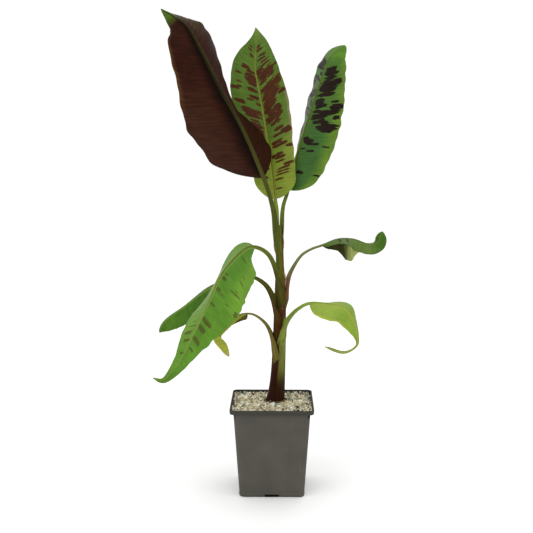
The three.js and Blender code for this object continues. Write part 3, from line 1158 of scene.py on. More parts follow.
def past(low: float, high: float) -> Window:
    """A window that fades in from low to high and stays open."""
    return (low, high, 2.0, 3.0)


def up_to(low: float, high: float) -> Window:
    """A window that is open at first and fades out from low to high."""
    return (-3.0, -2.0, low, high)


@dataclass(frozen=True)
class Wash:
    """A soft-edged stretch of one colour.

    Its windows are shares along the blade, from 0 to 1, and across it, from -1 at the left margin to 1.
    Each fades in over its first two values and out over its last two.
    """

    paint: str
    along: Window
    across: Window
    strength: float = 1.0

    def cover(self, s: Array, v: Array) -> Array:
        """How strongly the wash shows at each place."""
        found = np.full(len(s), self.strength)
        for value, (a, b, c, d) in ((s, self.along), (v, self.across)):
            found = found * smooth(a, b, value) * (1 - smooth(c, d, value))
        return found[:, None]


@dataclass(frozen=True)
class StalkTints:
    """A stalk's colours above and below: where it leaves the stem, at its arch and along the rib."""

    upper: tuple[str, str, str]
    under: tuple[str, str, str]


@dataclass(frozen=True)
class LeafForm:
    """One leaf's shape, in mm and degrees, and its colours.

    Its middle line starts at start on the stem's fork, or at the height leaves_at on the stem's side
    that faces heading, and runs through stalk and rib. facing is the way its upper face looks and skew
    the slant of its veins, both from foot to tip. foot_round and tip_from are shares of its length.
    """

    name: str
    stalk_radius: Pair
    stalk: tuple[Triple, ...]
    rib: tuple[Triple, ...]
    facing: tuple[Triple, ...]
    skew: tuple[float, ...]
    left: Half
    right: Half
    finish: BladeFinish
    stalk_tints: StalkTints
    upper: str
    under: str
    upper_washes: tuple[Wash, ...] = ()
    under_washes: tuple[Wash, ...] = ()
    blotches: tuple[Blotch, ...] = ()
    blotch_depth: float = 1.0
    blotch_swell: float = 1.0
    start: Pair | None = None
    heading: float = -90.0
    leaves_at: float = 342.3
    foot_round: float = 0.1
    tip_from: float = 0.8
    curls: bool = False
    rows: int = 220
    columns: int = 88
    seed: int = 1


class MiddleLine:
    """A leaf's middle line: its stalk from the stem, then its rib to the tip."""

    samples = 1600
    small = 5e-4

    def __init__(self, form: LeafForm, stem: Stem) -> None:
        """Works out the line and its arc lengths."""
        self.form = form
        if form.start is not None:
            first = (*form.start, stem.fork_z + GAP)
        else:
            height = np.array([form.leaves_at])
            centre = stem.centre(height)[0]
            reach = float(stem.radius(height)[0]) + form.stalk_radius[0] + GAP
            heading = math.radians(form.heading)
            beside = centre + reach * np.array([math.cos(heading), math.sin(heading)])
            first = (*beside, form.leaves_at)
        self.knots = np.array([first, *form.stalk, *form.rib], float)
        self.t = np.linspace(0.0, 1.0, self.samples)
        points = spline(self.knots, self.t)
        self.lengths = lengths_along(points)
        foot = (len(form.stalk) + 1) / (len(self.knots) - 1)
        self.foot = float(np.interp(foot, self.t, self.lengths))
        self.blade_length = float(self.lengths[-1] - self.foot)

    def at(self, length: Array) -> tuple[Array, Array]:
        """The points and directions at lengths along the line."""
        t = np.interp(length, self.lengths, self.t)
        ahead = spline(self.knots, np.minimum(t + self.small, 1.0))
        behind = spline(self.knots, np.maximum(t - self.small, 0.0))
        return spline(self.knots, t), unit(ahead - behind)

    def frame(self, s: Array) -> tuple[Array, Array, Array, Array]:
        """Points on the rib at shares of the blade, with the directions along, across and up."""
        point, along = self.at(self.foot + s * self.blade_length)
        facing = keyed(self.form.facing, s)
        up = unit(facing - dot(facing, along) * along)
        return point, along, np.cross(along, up), up


@dataclass
class StalkSection:
    """A stalk's crescent section at each station, in mm.

    half is its half-width, depth how far its round side goes down, groove the depth of its channel
    and edge the height of the channel's edges. clasp bends the edges round the stem, drop lowers the
    whole section under the blade, and closing is the share of its size that is left near the tip.
    """

    half: Array
    depth: Array
    groove: Array
    edge: Array
    clasp: Array
    drop: Array
    closing: Array


class Leaf:
    """Builds one leaf: the blade with its veins and waves, and the stalk that runs on as its rib."""

    # The stalk inside its sheath, and where it leaves the stem
    sheath_run = 44.0
    sheath_paint = "#33170a"
    sheath_sunk = 2.6
    sheath_stations = 23
    wing_reach = 40.0
    wing_width = 1.35
    wing_clasp = 2.2
    fork_reach = 26.0
    fork_width = 0.5

    # The stalk's stations, and its flat map
    line_points = 400
    easing_rounds = 3
    eased_before = 8
    eased_after = 10
    station_gap = 1.6
    stalk_columns = 28
    stalk_map_width = 0.02

    # The stalk's section, as shares of its radius, and the rib's, as shares of its half-width
    edge_share = 0.4
    groove_share = 0.7
    depth_share = 0.95
    wing_depth_share = 0.6
    sheath_share = 0.6
    rib_width_share = 1.15
    rib_depth_share = 1.4
    rib_drop = 0.3
    tip_run = 3.0
    tip_share = 0.25

    # The blade's outline and thickness
    blade_thickness = 0.56
    least_half_width = 0.7
    width_end = 0.7
    margin_wander = 0.012

    # The blade's relief
    vein_gap = 5.4
    vein_height = 0.24
    vein_waver = 1.4
    wave_height = 1.1
    wave_full_width = 26.0
    vein_start = 6.0
    blotch_fade = 1.5

    def __init__(self, form: LeafForm, stem: Stem) -> None:
        """Prepares the leaf's middle line."""
        self.form = form
        self.stem = stem
        self.line = MiddleLine(form, stem)

    def half_width(self, half: Half, s: Array) -> Array:
        """Half-width of one half of the blade at each share of its length."""
        foot = np.minimum(s / self.form.foot_round, 1.0)
        rise = np.sqrt(np.clip(1 - (1 - foot) ** 2, 0.0, 1.0))
        tip = np.clip((s - self.form.tip_from) / (1 - self.form.tip_from), 0.0, 1.0)
        fall = np.clip(1 - tip**2, 0.0, 1.0) ** self.width_end
        return np.maximum(keyed(half.widths, s)[:, 0] * rise * fall, self.least_half_width)

    def width_beside(self, s: Array, v: Array) -> Array:
        """Half-width of the half that each place is on; v is negative on the left one."""
        return np.where(v < 0, self.half_width(self.form.left, s), self.half_width(self.form.right, s))

    def rib_half(self, s: Array) -> Array:
        """Half the rib's width along the blade, in mm."""
        return 0.35 + self.form.stalk_radius[1] * 0.72 * (1 - s) ** 0.8

    def groove(self, s: Array) -> Array:
        """How deep the rib's channel is, in mm."""
        return 0.12 + 0.55 * (1 - s) ** 0.7

    def surface(self, s: Array, v: Array) -> Array:
        """The blade's smooth surface, before veins and waves.

        Args:
            s: shares from foot to tip.
            v: shares from the rib, -1 at the left margin and 1 at the right.

        Returns:
            Positions in mm.
        """
        form = self.form
        point, along, across, up = self.line.frame(s)
        skew = np.radians(keyed(form.skew, s))
        wander = 1 + self.margin_wander * wobble(form.seed, s * 200, 17.0)
        reach = np.abs(v)[:, None]
        sign = np.where(v < 0, -1.0, 1.0)[:, None]
        places = np.zeros_like(point)
        for half, mine in ((form.left, v < 0), (form.right, v >= 0)):
            lift = np.radians(keyed(half.lift, s))
            bend = (lift[:, 1:] - lift[:, :1]) * reach / 2
            run = reach * np.sinc(bend / math.pi)
            flat = run * np.cos(lift[:, :1] + bend) * np.cos(skew)
            high = run * np.sin(lift[:, :1] + bend) * np.cos(skew)
            step = sign * flat * across + high * up + reach * np.sin(skew) * along
            width = self.half_width(half, s) * wander
            places[mine] = (point + step * width[:, None])[mine]
        return places

    def relief(self, s: Array, v: Array) -> Array:
        """How far the blade stands off its smooth surface: channel, veins and a wavy margin.

        Args:
            s: shares from foot to tip.
            v: shares from the rib, -1 at the left margin and 1 at the right.

        Returns:
            Heights in mm.
        """
        mm = s * self.line.blade_length
        width = self.width_beside(s, v)
        out = np.abs(v) * width
        rib = self.rib_half(s)
        channel = -self.groove(s) * np.exp(-((out / rib) ** 2))
        shoulder = 0.3 * self.groove(s) * np.exp(-(((out - 1.7 * rib) / (0.7 * rib)) ** 2))
        veins = np.zeros_like(s)
        waves = np.zeros_like(s)
        for number, mine in ((1, v < 0), (2, v >= 0)):
            seed = self.form.seed + number
            here, off = mm[mine], out[mine]
            bent = here + self.vein_waver * wobble(seed, here, 23.0)
            strength = 0.6 + 0.4 * wobble(seed + 4, here + off * 0.6, 19.0)
            veins[mine] = np.sin(2 * math.pi * bent / self.vein_gap) * strength
            waves[mine] = wobble(seed + 8, here + 0.3 * off, 34.0, 4)
        veins *= smooth(0.0, self.vein_start, out - rib) * (1 - 0.6 * np.abs(v))
        waves *= smooth(0.45, 1.0, np.abs(v)) * np.minimum(width / self.wave_full_width, 1.0)
        ends = smooth(0.0, 0.08, s) * (1 - smooth(0.9, 1.0, s))
        return channel + shoulder + ends * (self.vein_height * veins + self.wave_height * waves)

    def blade_places(self, across: Array, along: Array) -> Array:
        """Places the blade's grid.

        Args:
            across: shares from the left margin to the right.
            along: shares from foot to tip.

        Returns:
            Positions in mm.
        """
        s, v = self.blade_shares(across, along)
        s_step, v_step = 0.002, 0.02
        s_low, s_high = np.maximum(s - s_step, 0.0), np.minimum(s + s_step, 1.0)
        v_low, v_high = np.maximum(v - v_step, -1.0), np.minimum(v + v_step, 1.0)
        sideways = self.surface(s, v_high) - self.surface(s, v_low)
        forwards = self.surface(s_high, v) - self.surface(s_low, v)
        up = unit(np.cross(sideways, forwards))
        return self.surface(s, v) + up * self.relief(s, v)[:, None]

    @staticmethod
    def blade_shares(across: Array, along: Array) -> tuple[Array, Array]:
        """Gathers the grid towards the rib and the two ends."""
        v = across * 2 - 1
        v = np.sign(v) * np.abs(v) ** 1.3
        gathered = 0.5 - 0.5 * np.cos(math.pi * along)
        return 0.75 * along + 0.25 * gathered, v

    def blotch_field(self, s: Array, out: Array) -> Array:
        """How deep inside a blotch each place is.

        Args:
            s: shares from foot to tip.
            out: distances from the rib in mm, negative on the left half.

        Returns:
            From below 0 outside every blotch to 1 at a blotch's middle.
        """
        form = self.form
        field_height = np.full(len(s), -1.5)
        for blotch in form.blotches:
            middle = (blotch.near + blotch.far) / 2
            reach = abs(blotch.far - blotch.near) / 2 + self.blotch_fade
            beside = np.abs((out - middle) / reach) ** 3
            half = blotch.half * form.blotch_swell
            above = ((s - blotch.along) * self.line.blade_length / half) ** 2
            field_height = np.maximum(field_height, 1 - beside - above)
        return field_height

    def build_blade(self) -> None:
        """Makes the blade, with its upper and under faces."""
        form = self.form
        length = self.line.blade_length

        def flat_map(across: Array, along: Array) -> Array:
            """Maps the blade by its distance from the rib and from its foot, in metres."""
            s, v = self.blade_shares(across, along)
            return np.stack([v * self.width_beside(s, v), s * length], axis=1) * MM

        mesh = bent_grid(form.columns, form.rows, self.blade_places, flat_map)
        out, mm = flat_map_of(mesh, MM, MM)
        s = np.clip(mm / length, 0.0, 1.0)
        v = out / self.width_beside(s, out)
        for name, ground, washes in (
            (TINT, form.upper, form.upper_washes),
            (UNDER_TINT, form.under, form.under_washes),
        ):
            tints = np.repeat(colour(ground)[None], len(s), axis=0)
            for wash in washes:
                tints = between(tints, colour(wash.paint), wash.cover(s, v))
            set_tint(mesh, name, tints)
        set_amount(mesh, BLOTCH, self.blotch_field(s, out))
        set_amount(mesh, BLOTCH_DEPTH, np.full(len(s), form.blotch_depth))
        set_amount(mesh, RIB_SHARE, np.abs(out) / self.rib_half(s))
        nodes = [f"blade_{form.name}"]
        if form.curls:
            nodes.append(f"curl_{form.name}")
        materials = [form.finish.upper(), form.finish.lower()]
        piece = add_piece(f"leaf_{form.name}", mesh, materials, nodes)
        body = thicken(piece, self.blade_thickness)
        body.material_offset = 1
        body.material_offset_rim = 0

    def stalk_line(self) -> tuple[Array, Array]:
        """The middle line from inside the sheath to the tip.

        Returns:
            Evenly spaced points, and their lengths from the blade's foot (negative on the stalk).
        """
        form = self.form
        line = self.line
        first = line.knots[0]
        below = np.linspace(0.0, 1.0, self.sheath_stations + 1)[:-1]
        z = first[2] - self.sheath_run * (1 - below)
        top_offset = first[:2] - self.stem.centre(first[2:])[0]
        top_reach = np.linalg.norm(top_offset)
        if form.start is None:
            start = self.stem.radius(z) - form.stalk_radius[0] * self.sheath_share - self.sheath_sunk
        else:
            start = np.full(len(z), top_reach * 0.7)
        offset = between(start, top_reach, below**2.2)
        lower = np.column_stack([self.stem.centre(z) + unit(top_offset) * offset[:, None], z])
        upper, _ = line.at(np.linspace(0.0, line.lengths[-1], self.line_points))
        points = np.vstack([lower, upper])
        near = slice(len(lower) - self.eased_before, len(lower) + self.eased_after)
        for _ in range(self.easing_rounds):
            eased = points.copy()
            eased[1:-1] = (points[:-2] + 2 * points[1:-1] + points[2:]) / 4
            points[near] = eased[near]
        lengths = lengths_along(points)
        even = np.linspace(0.0, lengths[-1], int(lengths[-1] / self.station_gap))
        spots = np.column_stack([np.interp(even, lengths, column) for column in points.T])
        return spots, even - (lengths[-1] - line.blade_length)

    def stalk_frames(self, points: Array, past_foot: Array) -> tuple[Array, Array]:
        """Carries the channel's direction up the stalk without twisting, then eases it into the blade's.

        Args:
            points: the stalk's middle line.
            past_foot: lengths from the blade's foot.

        Returns:
            The directions across and up at each point.
        """
        along = unit(np.gradient(points, axis=0))
        axis = np.append(self.stem.centre(points[:1, 2])[0], points[0, 2])
        up = np.zeros_like(points)
        up[0] = unit(axis - points[0])
        for k in range(1, len(points)):
            up[k] = unit(up[k - 1] - np.dot(up[k - 1], along[k]) * along[k])
        s = np.clip(past_foot / self.line.blade_length, 0.0, 1.0)
        _, _, _, wanted = self.line.frame(s)
        wanted = unit(wanted - dot(wanted, along) * along)
        side = np.cross(along, up)
        twist = np.unwrap(np.arctan2(dot(wanted, side), dot(wanted, up)), axis=0)
        foot = int(np.argmin(np.abs(past_foot)))
        stalk_share = smooth(0.0, 1.0, np.linspace(0.0, 1.0, foot + 1))
        twist[: foot + 1] = twist[foot] * stalk_share[:, None]
        up = np.cos(twist) * up + np.sin(twist) * side
        return np.cross(along, up), up

    def stalk_section(self, past_foot: Array) -> StalkSection:
        """Works out the crescent section, which becomes the rib's on the blade.

        Args:
            past_foot: lengths from the blade's foot.

        Returns:
            The section at each length.
        """
        run = -past_foot[0]
        s = np.clip(past_foot / self.line.blade_length, 0.0, 1.0)
        core = between(*self.form.stalk_radius, np.clip((past_foot + run) / run, 0.0, 1.0))
        past_stem = np.maximum(past_foot + run - self.sheath_run, 0.0)
        emerging = smooth(0.0, self.sheath_run * 0.9, past_foot + run)
        if self.form.start is None:
            swell = np.exp(-((past_stem / self.wing_reach) ** 2)) * emerging
            wing, swollen = swell, 1 + self.wing_width * swell
        else:
            swell = np.exp(-((past_stem / self.fork_reach) ** 2)) * emerging
            wing, swollen = np.zeros_like(s), 1 + self.fork_width * swell
        on_blade = smooth(-4.0, 10.0, past_foot)
        rib = self.rib_half(s)
        half = core * swollen * between(self.sheath_share, 1.0, emerging)
        depth = core * between(self.depth_share, self.wing_depth_share, wing)
        return StalkSection(
            half=between(half, rib * self.rib_width_share, on_blade),
            depth=between(depth, rib * self.rib_depth_share, on_blade),
            groove=between(core * self.groove_share, self.groove(s) + 0.1, on_blade),
            edge=between(core * self.edge_share, 0.0, on_blade),
            clasp=core * self.wing_clasp * wing,
            drop=self.rib_drop * on_blade,
            closing=np.minimum(1.0, (past_foot[-1] - past_foot) / self.tip_run + self.tip_share),
        )

    def stalk_tints(self, around: Array, mm: Array, run: float) -> Array:
        """The stalk's colours.

        Args:
            around: shares round its section.
            mm: lengths from its start inside the sheath.
            run: its length up to the blade's foot.

        Returns:
            One colour for each place.
        """
        passed = np.clip(mm / run, 0.0, 2.0) / 2.0
        upper = keyed([colour(paint) for paint in self.form.stalk_tints.upper], passed)
        under = keyed([colour(paint) for paint in self.form.stalk_tints.under], passed)
        top_side = smooth(-0.25, 0.35, np.sin(around * 2 * math.pi))
        tints = between(under, upper, top_side[:, None])
        if self.form.start is None:
            in_sheath = 1 - smooth(0.2 * self.sheath_run, 0.9 * self.sheath_run, mm)
            tints = between(tints, colour(self.sheath_paint), 0.85 * in_sheath[:, None])
        return np.clip(tints, 0, 1)

    def build_stalk(self) -> None:
        """Makes the stalk, channelled on its upper side, which runs on as the blade's rib."""
        name = self.form.name
        points, past_foot = self.stalk_line()
        across_dir, up_dir = self.stalk_frames(points, past_foot)
        section = self.stalk_section(past_foot)
        total = past_foot[-1] - past_foot[0]
        last = len(points) - 1

        def place(across: Array, along: Array) -> Array:
            """Carries the crescent section along the line."""
            spot = along * last
            low = np.minimum(spot.astype(int), last - 1)
            part = spot - low

            def pick(values: Array) -> Array:
                """Reads a row between two stations."""
                mixed = part if values.ndim == 1 else part[:, None]
                return values[low] * (1 - mixed) + values[low + 1] * mixed

            x = np.cos(across * 2 * math.pi)
            y = np.sin(across * 2 * math.pi)
            channelled = y * pick(section.edge) - pick(section.groove) * (1 - x**2) ** 1.2
            high = np.where(y > 0, channelled, y * pick(section.depth)) + pick(section.clasp) * x**2
            closing = pick(section.closing)
            shift = unit(pick(across_dir)) * (x * pick(section.half) * closing)[:, None]
            lift = unit(pick(up_dir)) * (high * closing - pick(section.drop))[:, None]
            return pick(points) + shift + lift

        def flat_map(across: Array, along: Array) -> Array:
            """Maps the stalk by its share round and its length, in metres."""
            return np.stack([across * self.stalk_map_width, along * total * MM], axis=1)

        mesh = bent_grid(self.stalk_columns, last, place, flat_map)
        around, mm = flat_map_of(mesh, self.stalk_map_width, MM)
        set_tint(mesh, TINT, self.stalk_tints(around, mm, -past_foot[0]))
        close_tube(mesh)
        finish = SkinFinish(f"stalk_{name}", fleck_share=0.35)
        add_piece(f"petiole_{name}", mesh, [finish.material()], [f"stalk_{name}"])

    def build(self) -> None:
        """Makes the blade and the stalk."""
        self.build_blade()
        self.build_stalk()


# ---- The plant's leaves ------------------------------------------------------------------------
DARK_LEAF = BladeFinish("blade_dark")
MOTTLED_LEAF = BladeFinish("blade_mottled", "#361806", "#532b0d", "#929b3c", "#6d502b")
DEEP_MOTTLED_LEAF = BladeFinish("blade_mottled", "#0c0602", "#241307", "#536b23", "#404016")
GREEN_LEAF = BladeFinish("blade_green", "#3c3011", "#55541e", "#6d8939", "#617b31", band=0.07)
YELLOW_LEAF = BladeFinish("blade_yellow", "#6b4e20", "#79612b", "#9e9e44", "#877937")
OLIVE_LEAF = BladeFinish("blade_olive", "#241b07", "#403411", "#5f792c", "#534e23")
PALE_LEAF = BladeFinish("blade_pale", rib="#949e45", rib_middle="#87923c", streak=0.3, band=0.04)


def marks(*rows: tuple[float, float, float, float]) -> tuple[Blotch, ...]:
    """Turns rows of along, near, far and half-height into blotches."""
    return tuple(Blotch(*row) for row in rows)


def scattered(seed: int, count: int, side: float, reach: float) -> tuple[Blotch, ...]:
    """Scatters blotches evenly over one half of a blade.

    Args:
        seed: names the scatter.
        count: how many.
        side: -1 for the left half and 1 for the right.
        reach: how far from the rib the longest ends, in mm.

    Returns:
        The blotches.
    """
    draw = np.random.default_rng(seed)
    found = []
    for k in range(count):
        along = 0.14 + 0.74 * (k + draw.uniform(0.1, 0.9)) / count
        near = draw.choice([4.0, 4.0, 12.0, 22.0])
        far = near + draw.uniform(8.0, max(reach - near, 10.0))
        found.append(Blotch(along, side * near, side * min(far, reach), draw.uniform(1.6, 6.0)))
    return tuple(found)


TALL_LEFT = LeafForm(
    name="tall_left",
    start=(5.6, -1.6),
    stalk_radius=(3.4, 2.8),
    stalk=((1, -10, 378),),
    rib=(
        (-11, -24, 418), (-37, -46, 480), (-63, -60, 526), (-87, -66, 574),
        (-103, -62, 602), (-120, -54, 615), (-137, -44, 626),
    ),
    facing=((0, 1, 0),),
    skew=(5, 25, 35),
    tip_from=0.6,
    left=Half((64, 72, 56, 44, 22), ((56, 66), (80, 98), (60, 88), (50, 76), (70, 90))),
    right=Half((64, 75, 54, 42, 21), ((30, 45), (10, 30), (20, 50))),
    finish=DARK_LEAF,
    stalk_tints=StalkTints(("#5f6a2a", "#646f2c", "#4a4a1c"), ("#4f5a22", "#46491a", "#201e08")),
    upper="#557a2e",
    under="#2b1209",
    upper_washes=(Wash("#6f8f34", up_to(0.15, 0.35), ALL, 0.6),),
    under_washes=(
        # Painted shading on the right half: the near-black band beside the rib is painted shade, and the
        # lighter browns towards its margin are painted light.
        Wash("#3a2014", (0.0, 0.1, 0.35, 0.6), past(0.1, 0.5), 0.7),
        Wash("#5a3d20", (0.3, 0.5, 0.85, 0.95), past(0.85, 1.0), 0.6),
        Wash("#0a0301", up_to(0.8, 0.95), (-0.1, 0.02, 0.05, 0.32), 0.9),
        Wash("#45441a", (0.05, 0.2, 0.9, 1.0), (-0.16, -0.03, 0.0, 0.05), 0.5),
        Wash("#48661c", past(0.87, 0.94), ALL, 0.85),
        Wash("#3f3416", (0.68, 0.8, 0.88, 0.95), up_to(-0.3, -0.1), 0.5),
    ),
    blotches=scattered(5, 22, -1.0, 46.0) + scattered(6, 22, 1.0, 50.0),
    rows=300,
    columns=128,
    seed=101,
)

TALL_MIDDLE = LeafForm(
    name="tall_middle",
    start=(5.5, 5.9),
    stalk_radius=(2.6, 2.3),
    stalk=((6, 7, 372),),
    rib=((4, 9, 389), (-3, 24, 447), (-13, 38, 506), (-23, 46, 560), (-22, 50, 589), (-23, 56, 616)),
    facing=((0, -1, 0),),
    skew=(0, 25, 35),
    tip_from=0.7,
    left=Half((22, 34, 44, 33, 5), ((30, 20), (25, 0), (20, 0))),
    right=Half((31, 34, 41, 33, 14), ((30, 10), (25, -20), (20, 0))),
    finish=MOTTLED_LEAF,
    stalk_tints=StalkTints(("#67762b", "#768f31", "#85953d"), ("#626d26", "#6b7e26", "#71712e")),
    upper="#4e6923",
    under="#492f1b",
    upper_washes=(
        Wash("#79882e", up_to(0.16, 0.42), ALL, 0.95),
        Wash("#5b7929", (0.2, 0.4, 0.6, 0.8), (0.0, 0.1, 0.5, 0.8), 0.5),
        Wash("#677f2c", past(0.88, 0.97), ALL, 0.6),
        Wash("#7f7252", (0.25, 0.32, 0.5, 0.6), past(0.88, 0.95), 0.8),
    ),
    under_washes=(Wash("#3c491b", past(0.85, 0.95), ALL, 0.7),),
    blotches=marks(
        (0.88, 1, 6, 1.2), (0.86, 0, 9, 1.5), (0.82, 6, 15, 1.6), (0.795, 4, 16, 1.4),
        (0.77, 10, 22, 1.2), (0.73, 2, 11, 4), (0.745, 10, 24, 1.3), (0.69, 3, 29, 6),
        (0.655, 4, 16, 1.2), (0.612, 5, 36, 4.2), (0.575, 4, 31, 6), (0.53, 3, 23, 5),
        (0.50, 3, 13, 2.6), (0.475, 6, 28, 3.6), (0.445, 3, 28, 4), (0.545, 28, 39, 1.8),
        (0.41, 10, 23, 2.1), (0.37, 13, 25, 1.7), (0.34, 9, 24, 1.4), (0.345, 21, 35, 2.6),
        (0.305, 5, 20, 1.8), (0.285, 5, 26, 1.6), (0.265, 25, 34, 1.5), (0.238, 2, 18, 1.8),
        (0.222, 7, 21, 1.6), (0.20, 8, 20, 1.0), (0.175, 18, 31, 1.2), (0.16, 8, 25, 1.1),
        (0.145, 8, 24, 0.9), (0.13, 7, 22, 0.9), (0.105, 3, 14, 1.0), (0.055, 4, 11, 0.8),
        (0.63, 30, 38, 1.5), (0.70, 30, 36, 1.2), (0.865, -7, -10, 1.2), (0.845, -8, -12, 1.0),
        (0.82, -4, -9, 1.0), (0.742, -8, -20, 2.2), (0.725, -2, -13, 1.5), (0.69, -2, -17, 6.5),
        (0.655, -4, -14, 1.5), (0.622, -3, -17, 2.2), (0.605, -30, -43, 1.7), (0.62, -26, -31, 1.2),
        (0.58, -3, -15, 1.7), (0.56, -13, -20, 1.1), (0.532, -26, -39, 2.4), (0.545, -2, -8, 1.3),
        (0.49, -3, -31, 2.8), (0.465, -5, -28, 2.0), (0.44, -9, -20, 1.0), (0.41, -4, -32, 3.2),
        (0.36, -5, -25, 10), (0.70, -24, -30, 1.2), (0.65, -25, -31, 1.0), (0.27, -8, -22, 2.5),
        (0.22, -10, -26, 1.6), (0.17, -4, -14, 1.4), (0.12, -8, -18, 1.2),
    ),
    blotch_swell=1.5,
    rows=300,
    columns=112,
    seed=202,
)

TALL_RIGHT = LeafForm(
    name="tall_right",
    start=(12, 3),
    stalk_radius=(2.9, 2.3),
    stalk=((14, 9, 377),),
    rib=((21, 14, 401), (35, 30, 453), (53, 44, 509), (69, 54, 557), (79, 60, 579), (98, 62, 593)),
    facing=((0, -1, 0),),
    skew=(0, 20, 25),
    tip_from=0.7,
    left=Half((34, 44, 44, 34, 24), ((-80, -88), (-84, -92), (-78, -84), (-68, -76), (-55, -62))),
    right=Half((30, 45, 44, 32, 26), ((20, 0), (20, 0), (20, 0))),
    finish=DEEP_MOTTLED_LEAF,
    stalk_tints=StalkTints(("#586223", "#67762b", "#587127"), ("#493519", "#535320", "#4f5922")),
    upper="#426525",
    under="#4b3920",
    upper_washes=(
        Wash("#355a25", up_to(0.3, 0.6), (0.0, 0.1, 0.5, 0.9), 0.8),
        Wash("#5c7922", ALL, past(0.55, 1.0), 0.85),
        Wash("#557d22", past(0.82, 0.95), ALL, 0.8),
    ),
    under_washes=(Wash("#42511d", past(0.85, 0.95), ALL, 0.7),),
    blotches=marks(
        (0.795, 3, 15, 3), (0.765, 3, 20, 4), (0.73, 4, 20, 2.5), (0.69, 3, 29, 5.5),
        (0.655, 3, 26, 4.5), (0.62, 3, 26, 2.5), (0.575, 3, 13, 4.5), (0.545, 4, 18, 2.8),
        (0.51, 3, 13, 2.2), (0.50, 12, 38, 3.2), (0.53, 26, 42, 4.2), (0.565, 25, 33, 1.6),
        (0.475, 4, 23, 4), (0.44, 9, 26, 3), (0.405, 15, 42, 4.6), (0.38, 24, 37, 2),
        (0.465, 34, 42, 2.2), (0.33, 3, 9, 3), (0.315, 4, 16, 3.4), (0.30, 9, 24, 1.6),
        (0.27, 3, 7, 1.2), (0.255, 12, 20, 1.6), (0.285, 30, 39, 1.0), (0.118, 5, 13, 2.2),
        (0.11, 28, 36, 0.9),
    ) + scattered(9, 20, -1.0, 38.0),
    blotch_swell=1.25,
    rows=300,
    columns=112,
    seed=303,
)

FRONT_LEFT = LeafForm(
    name="front_left",
    heading=-105,
    leaves_at=262,
    stalk_radius=(4.3, 2.4),
    stalk=((5.5, -8, 290), (-4, -17, 317)),
    rib=(
        (-22, -32, 329.5), (-39, -48, 324), (-62, -76, 299), (-78, -98, 265),
        (-96, -112, 229), (-112, -118, 198), (-130, -118, 177), (-144, -116, 178),
    ),
    facing=((0, -1, 0),),
    skew=(-4, 20, 30),
    foot_round=0.06,
    left=Half((30, 42, 42, 27, 12, 6), ((-5, -20), (-5, -20))),
    right=Half((20, 38, 36, 23, 11, 4), ((-68, -74), (-88, -95), (-60, -66), (-40, -44), (-60, -60))),
    finish=GREEN_LEAF,
    stalk_tints=StalkTints(("#464416", "#647127", "#7c9744"), ("#443514", "#586223", "#768539")),
    upper="#558125",
    under="#5f732c",
    upper_washes=(
        Wash("#6e8d3b", up_to(0.5, 0.8), (0.02, 0.1, 0.8, 1.0), 0.6),
        Wash("#4b7725", ALL, (-0.6, -0.2, -0.02, 0.0), 0.5),
        Wash("#72982f", (0.0, 0.1, 0.3, 0.5), up_to(-0.75, -0.4), 0.5),
        Wash("#51701d", past(0.85, 0.95), ALL, 0.6),
    ),
    blotches=marks(
        (0.553, -1, -16, 3.2), (0.60, -2, -12, 4), (0.665, -2, -13, 4), (0.72, -3, -9, 2),
        (0.46, -1, -8, 1.8), (0.375, -1, -7, 3), (0.385, -9, -13, 1.2), (0.41, -20, -25, 0.8),
        (0.325, -20, -33, 1.6), (0.30, -25, -29, 1.2), (0.30, -2, -7, 2.4), (0.27, -3, -6, 1.4),
        (0.23, -25, -32, 1.0), (0.19, -22, -28, 0.8), (0.12, -5, -14, 1.2), (0.76, 1, 6, 1.6),
        (0.685, 2, 10, 2.6), (0.64, 5, 14, 2.8), (0.60, 2, 14, 1.2), (0.57, 8, 12, 0.8),
        (0.42, -36, -40, 3),
    ),
    blotch_depth=0.75,
    rows=260,
    columns=100,
    seed=404,
)

BACK_LEFT = LeafForm(
    name="back_left",
    heading=-125,
    leaves_at=236,
    stalk_radius=(3.3, 2),
    stalk=((-0.5, -3, 257), (-8, 1, 274), (-22, 8, 284)),
    rib=(
        (-39, 14, 287), (-62, 20, 280), (-91, 26, 264), (-119, 30, 242), (-144, 30, 224),
        (-152, 28, 214), (-153, 24, 207),
    ),
    facing=((0, -1, 0.3),),
    skew=(-20, 20, 30),
    left=Half((24, 30, 28, 21, 12), ((-5, -20), (-5, -20))),
    right=Half((24, 30, 28, 21, 12), ((-70, -85), (-70, -85))),
    finish=GREEN_LEAF,
    stalk_tints=StalkTints(("#493516", "#636823", "#768f39"), ("#44260f", "#58531e", "#67762e")),
    upper="#3f661a",
    under="#4f6225",
    upper_washes=(Wash("#4f781f", past(0.6, 0.8), ALL, 0.6),),
    blotches=marks(
        (0.3, -3, -12, 2.5), (0.42, -2, -10, 2), (0.25, 4, 16, 2.5), (0.5, 3, 12, 2),
        (0.62, -4, -11, 1.5),
    ),
    blotch_depth=0.35,
    seed=505,
)

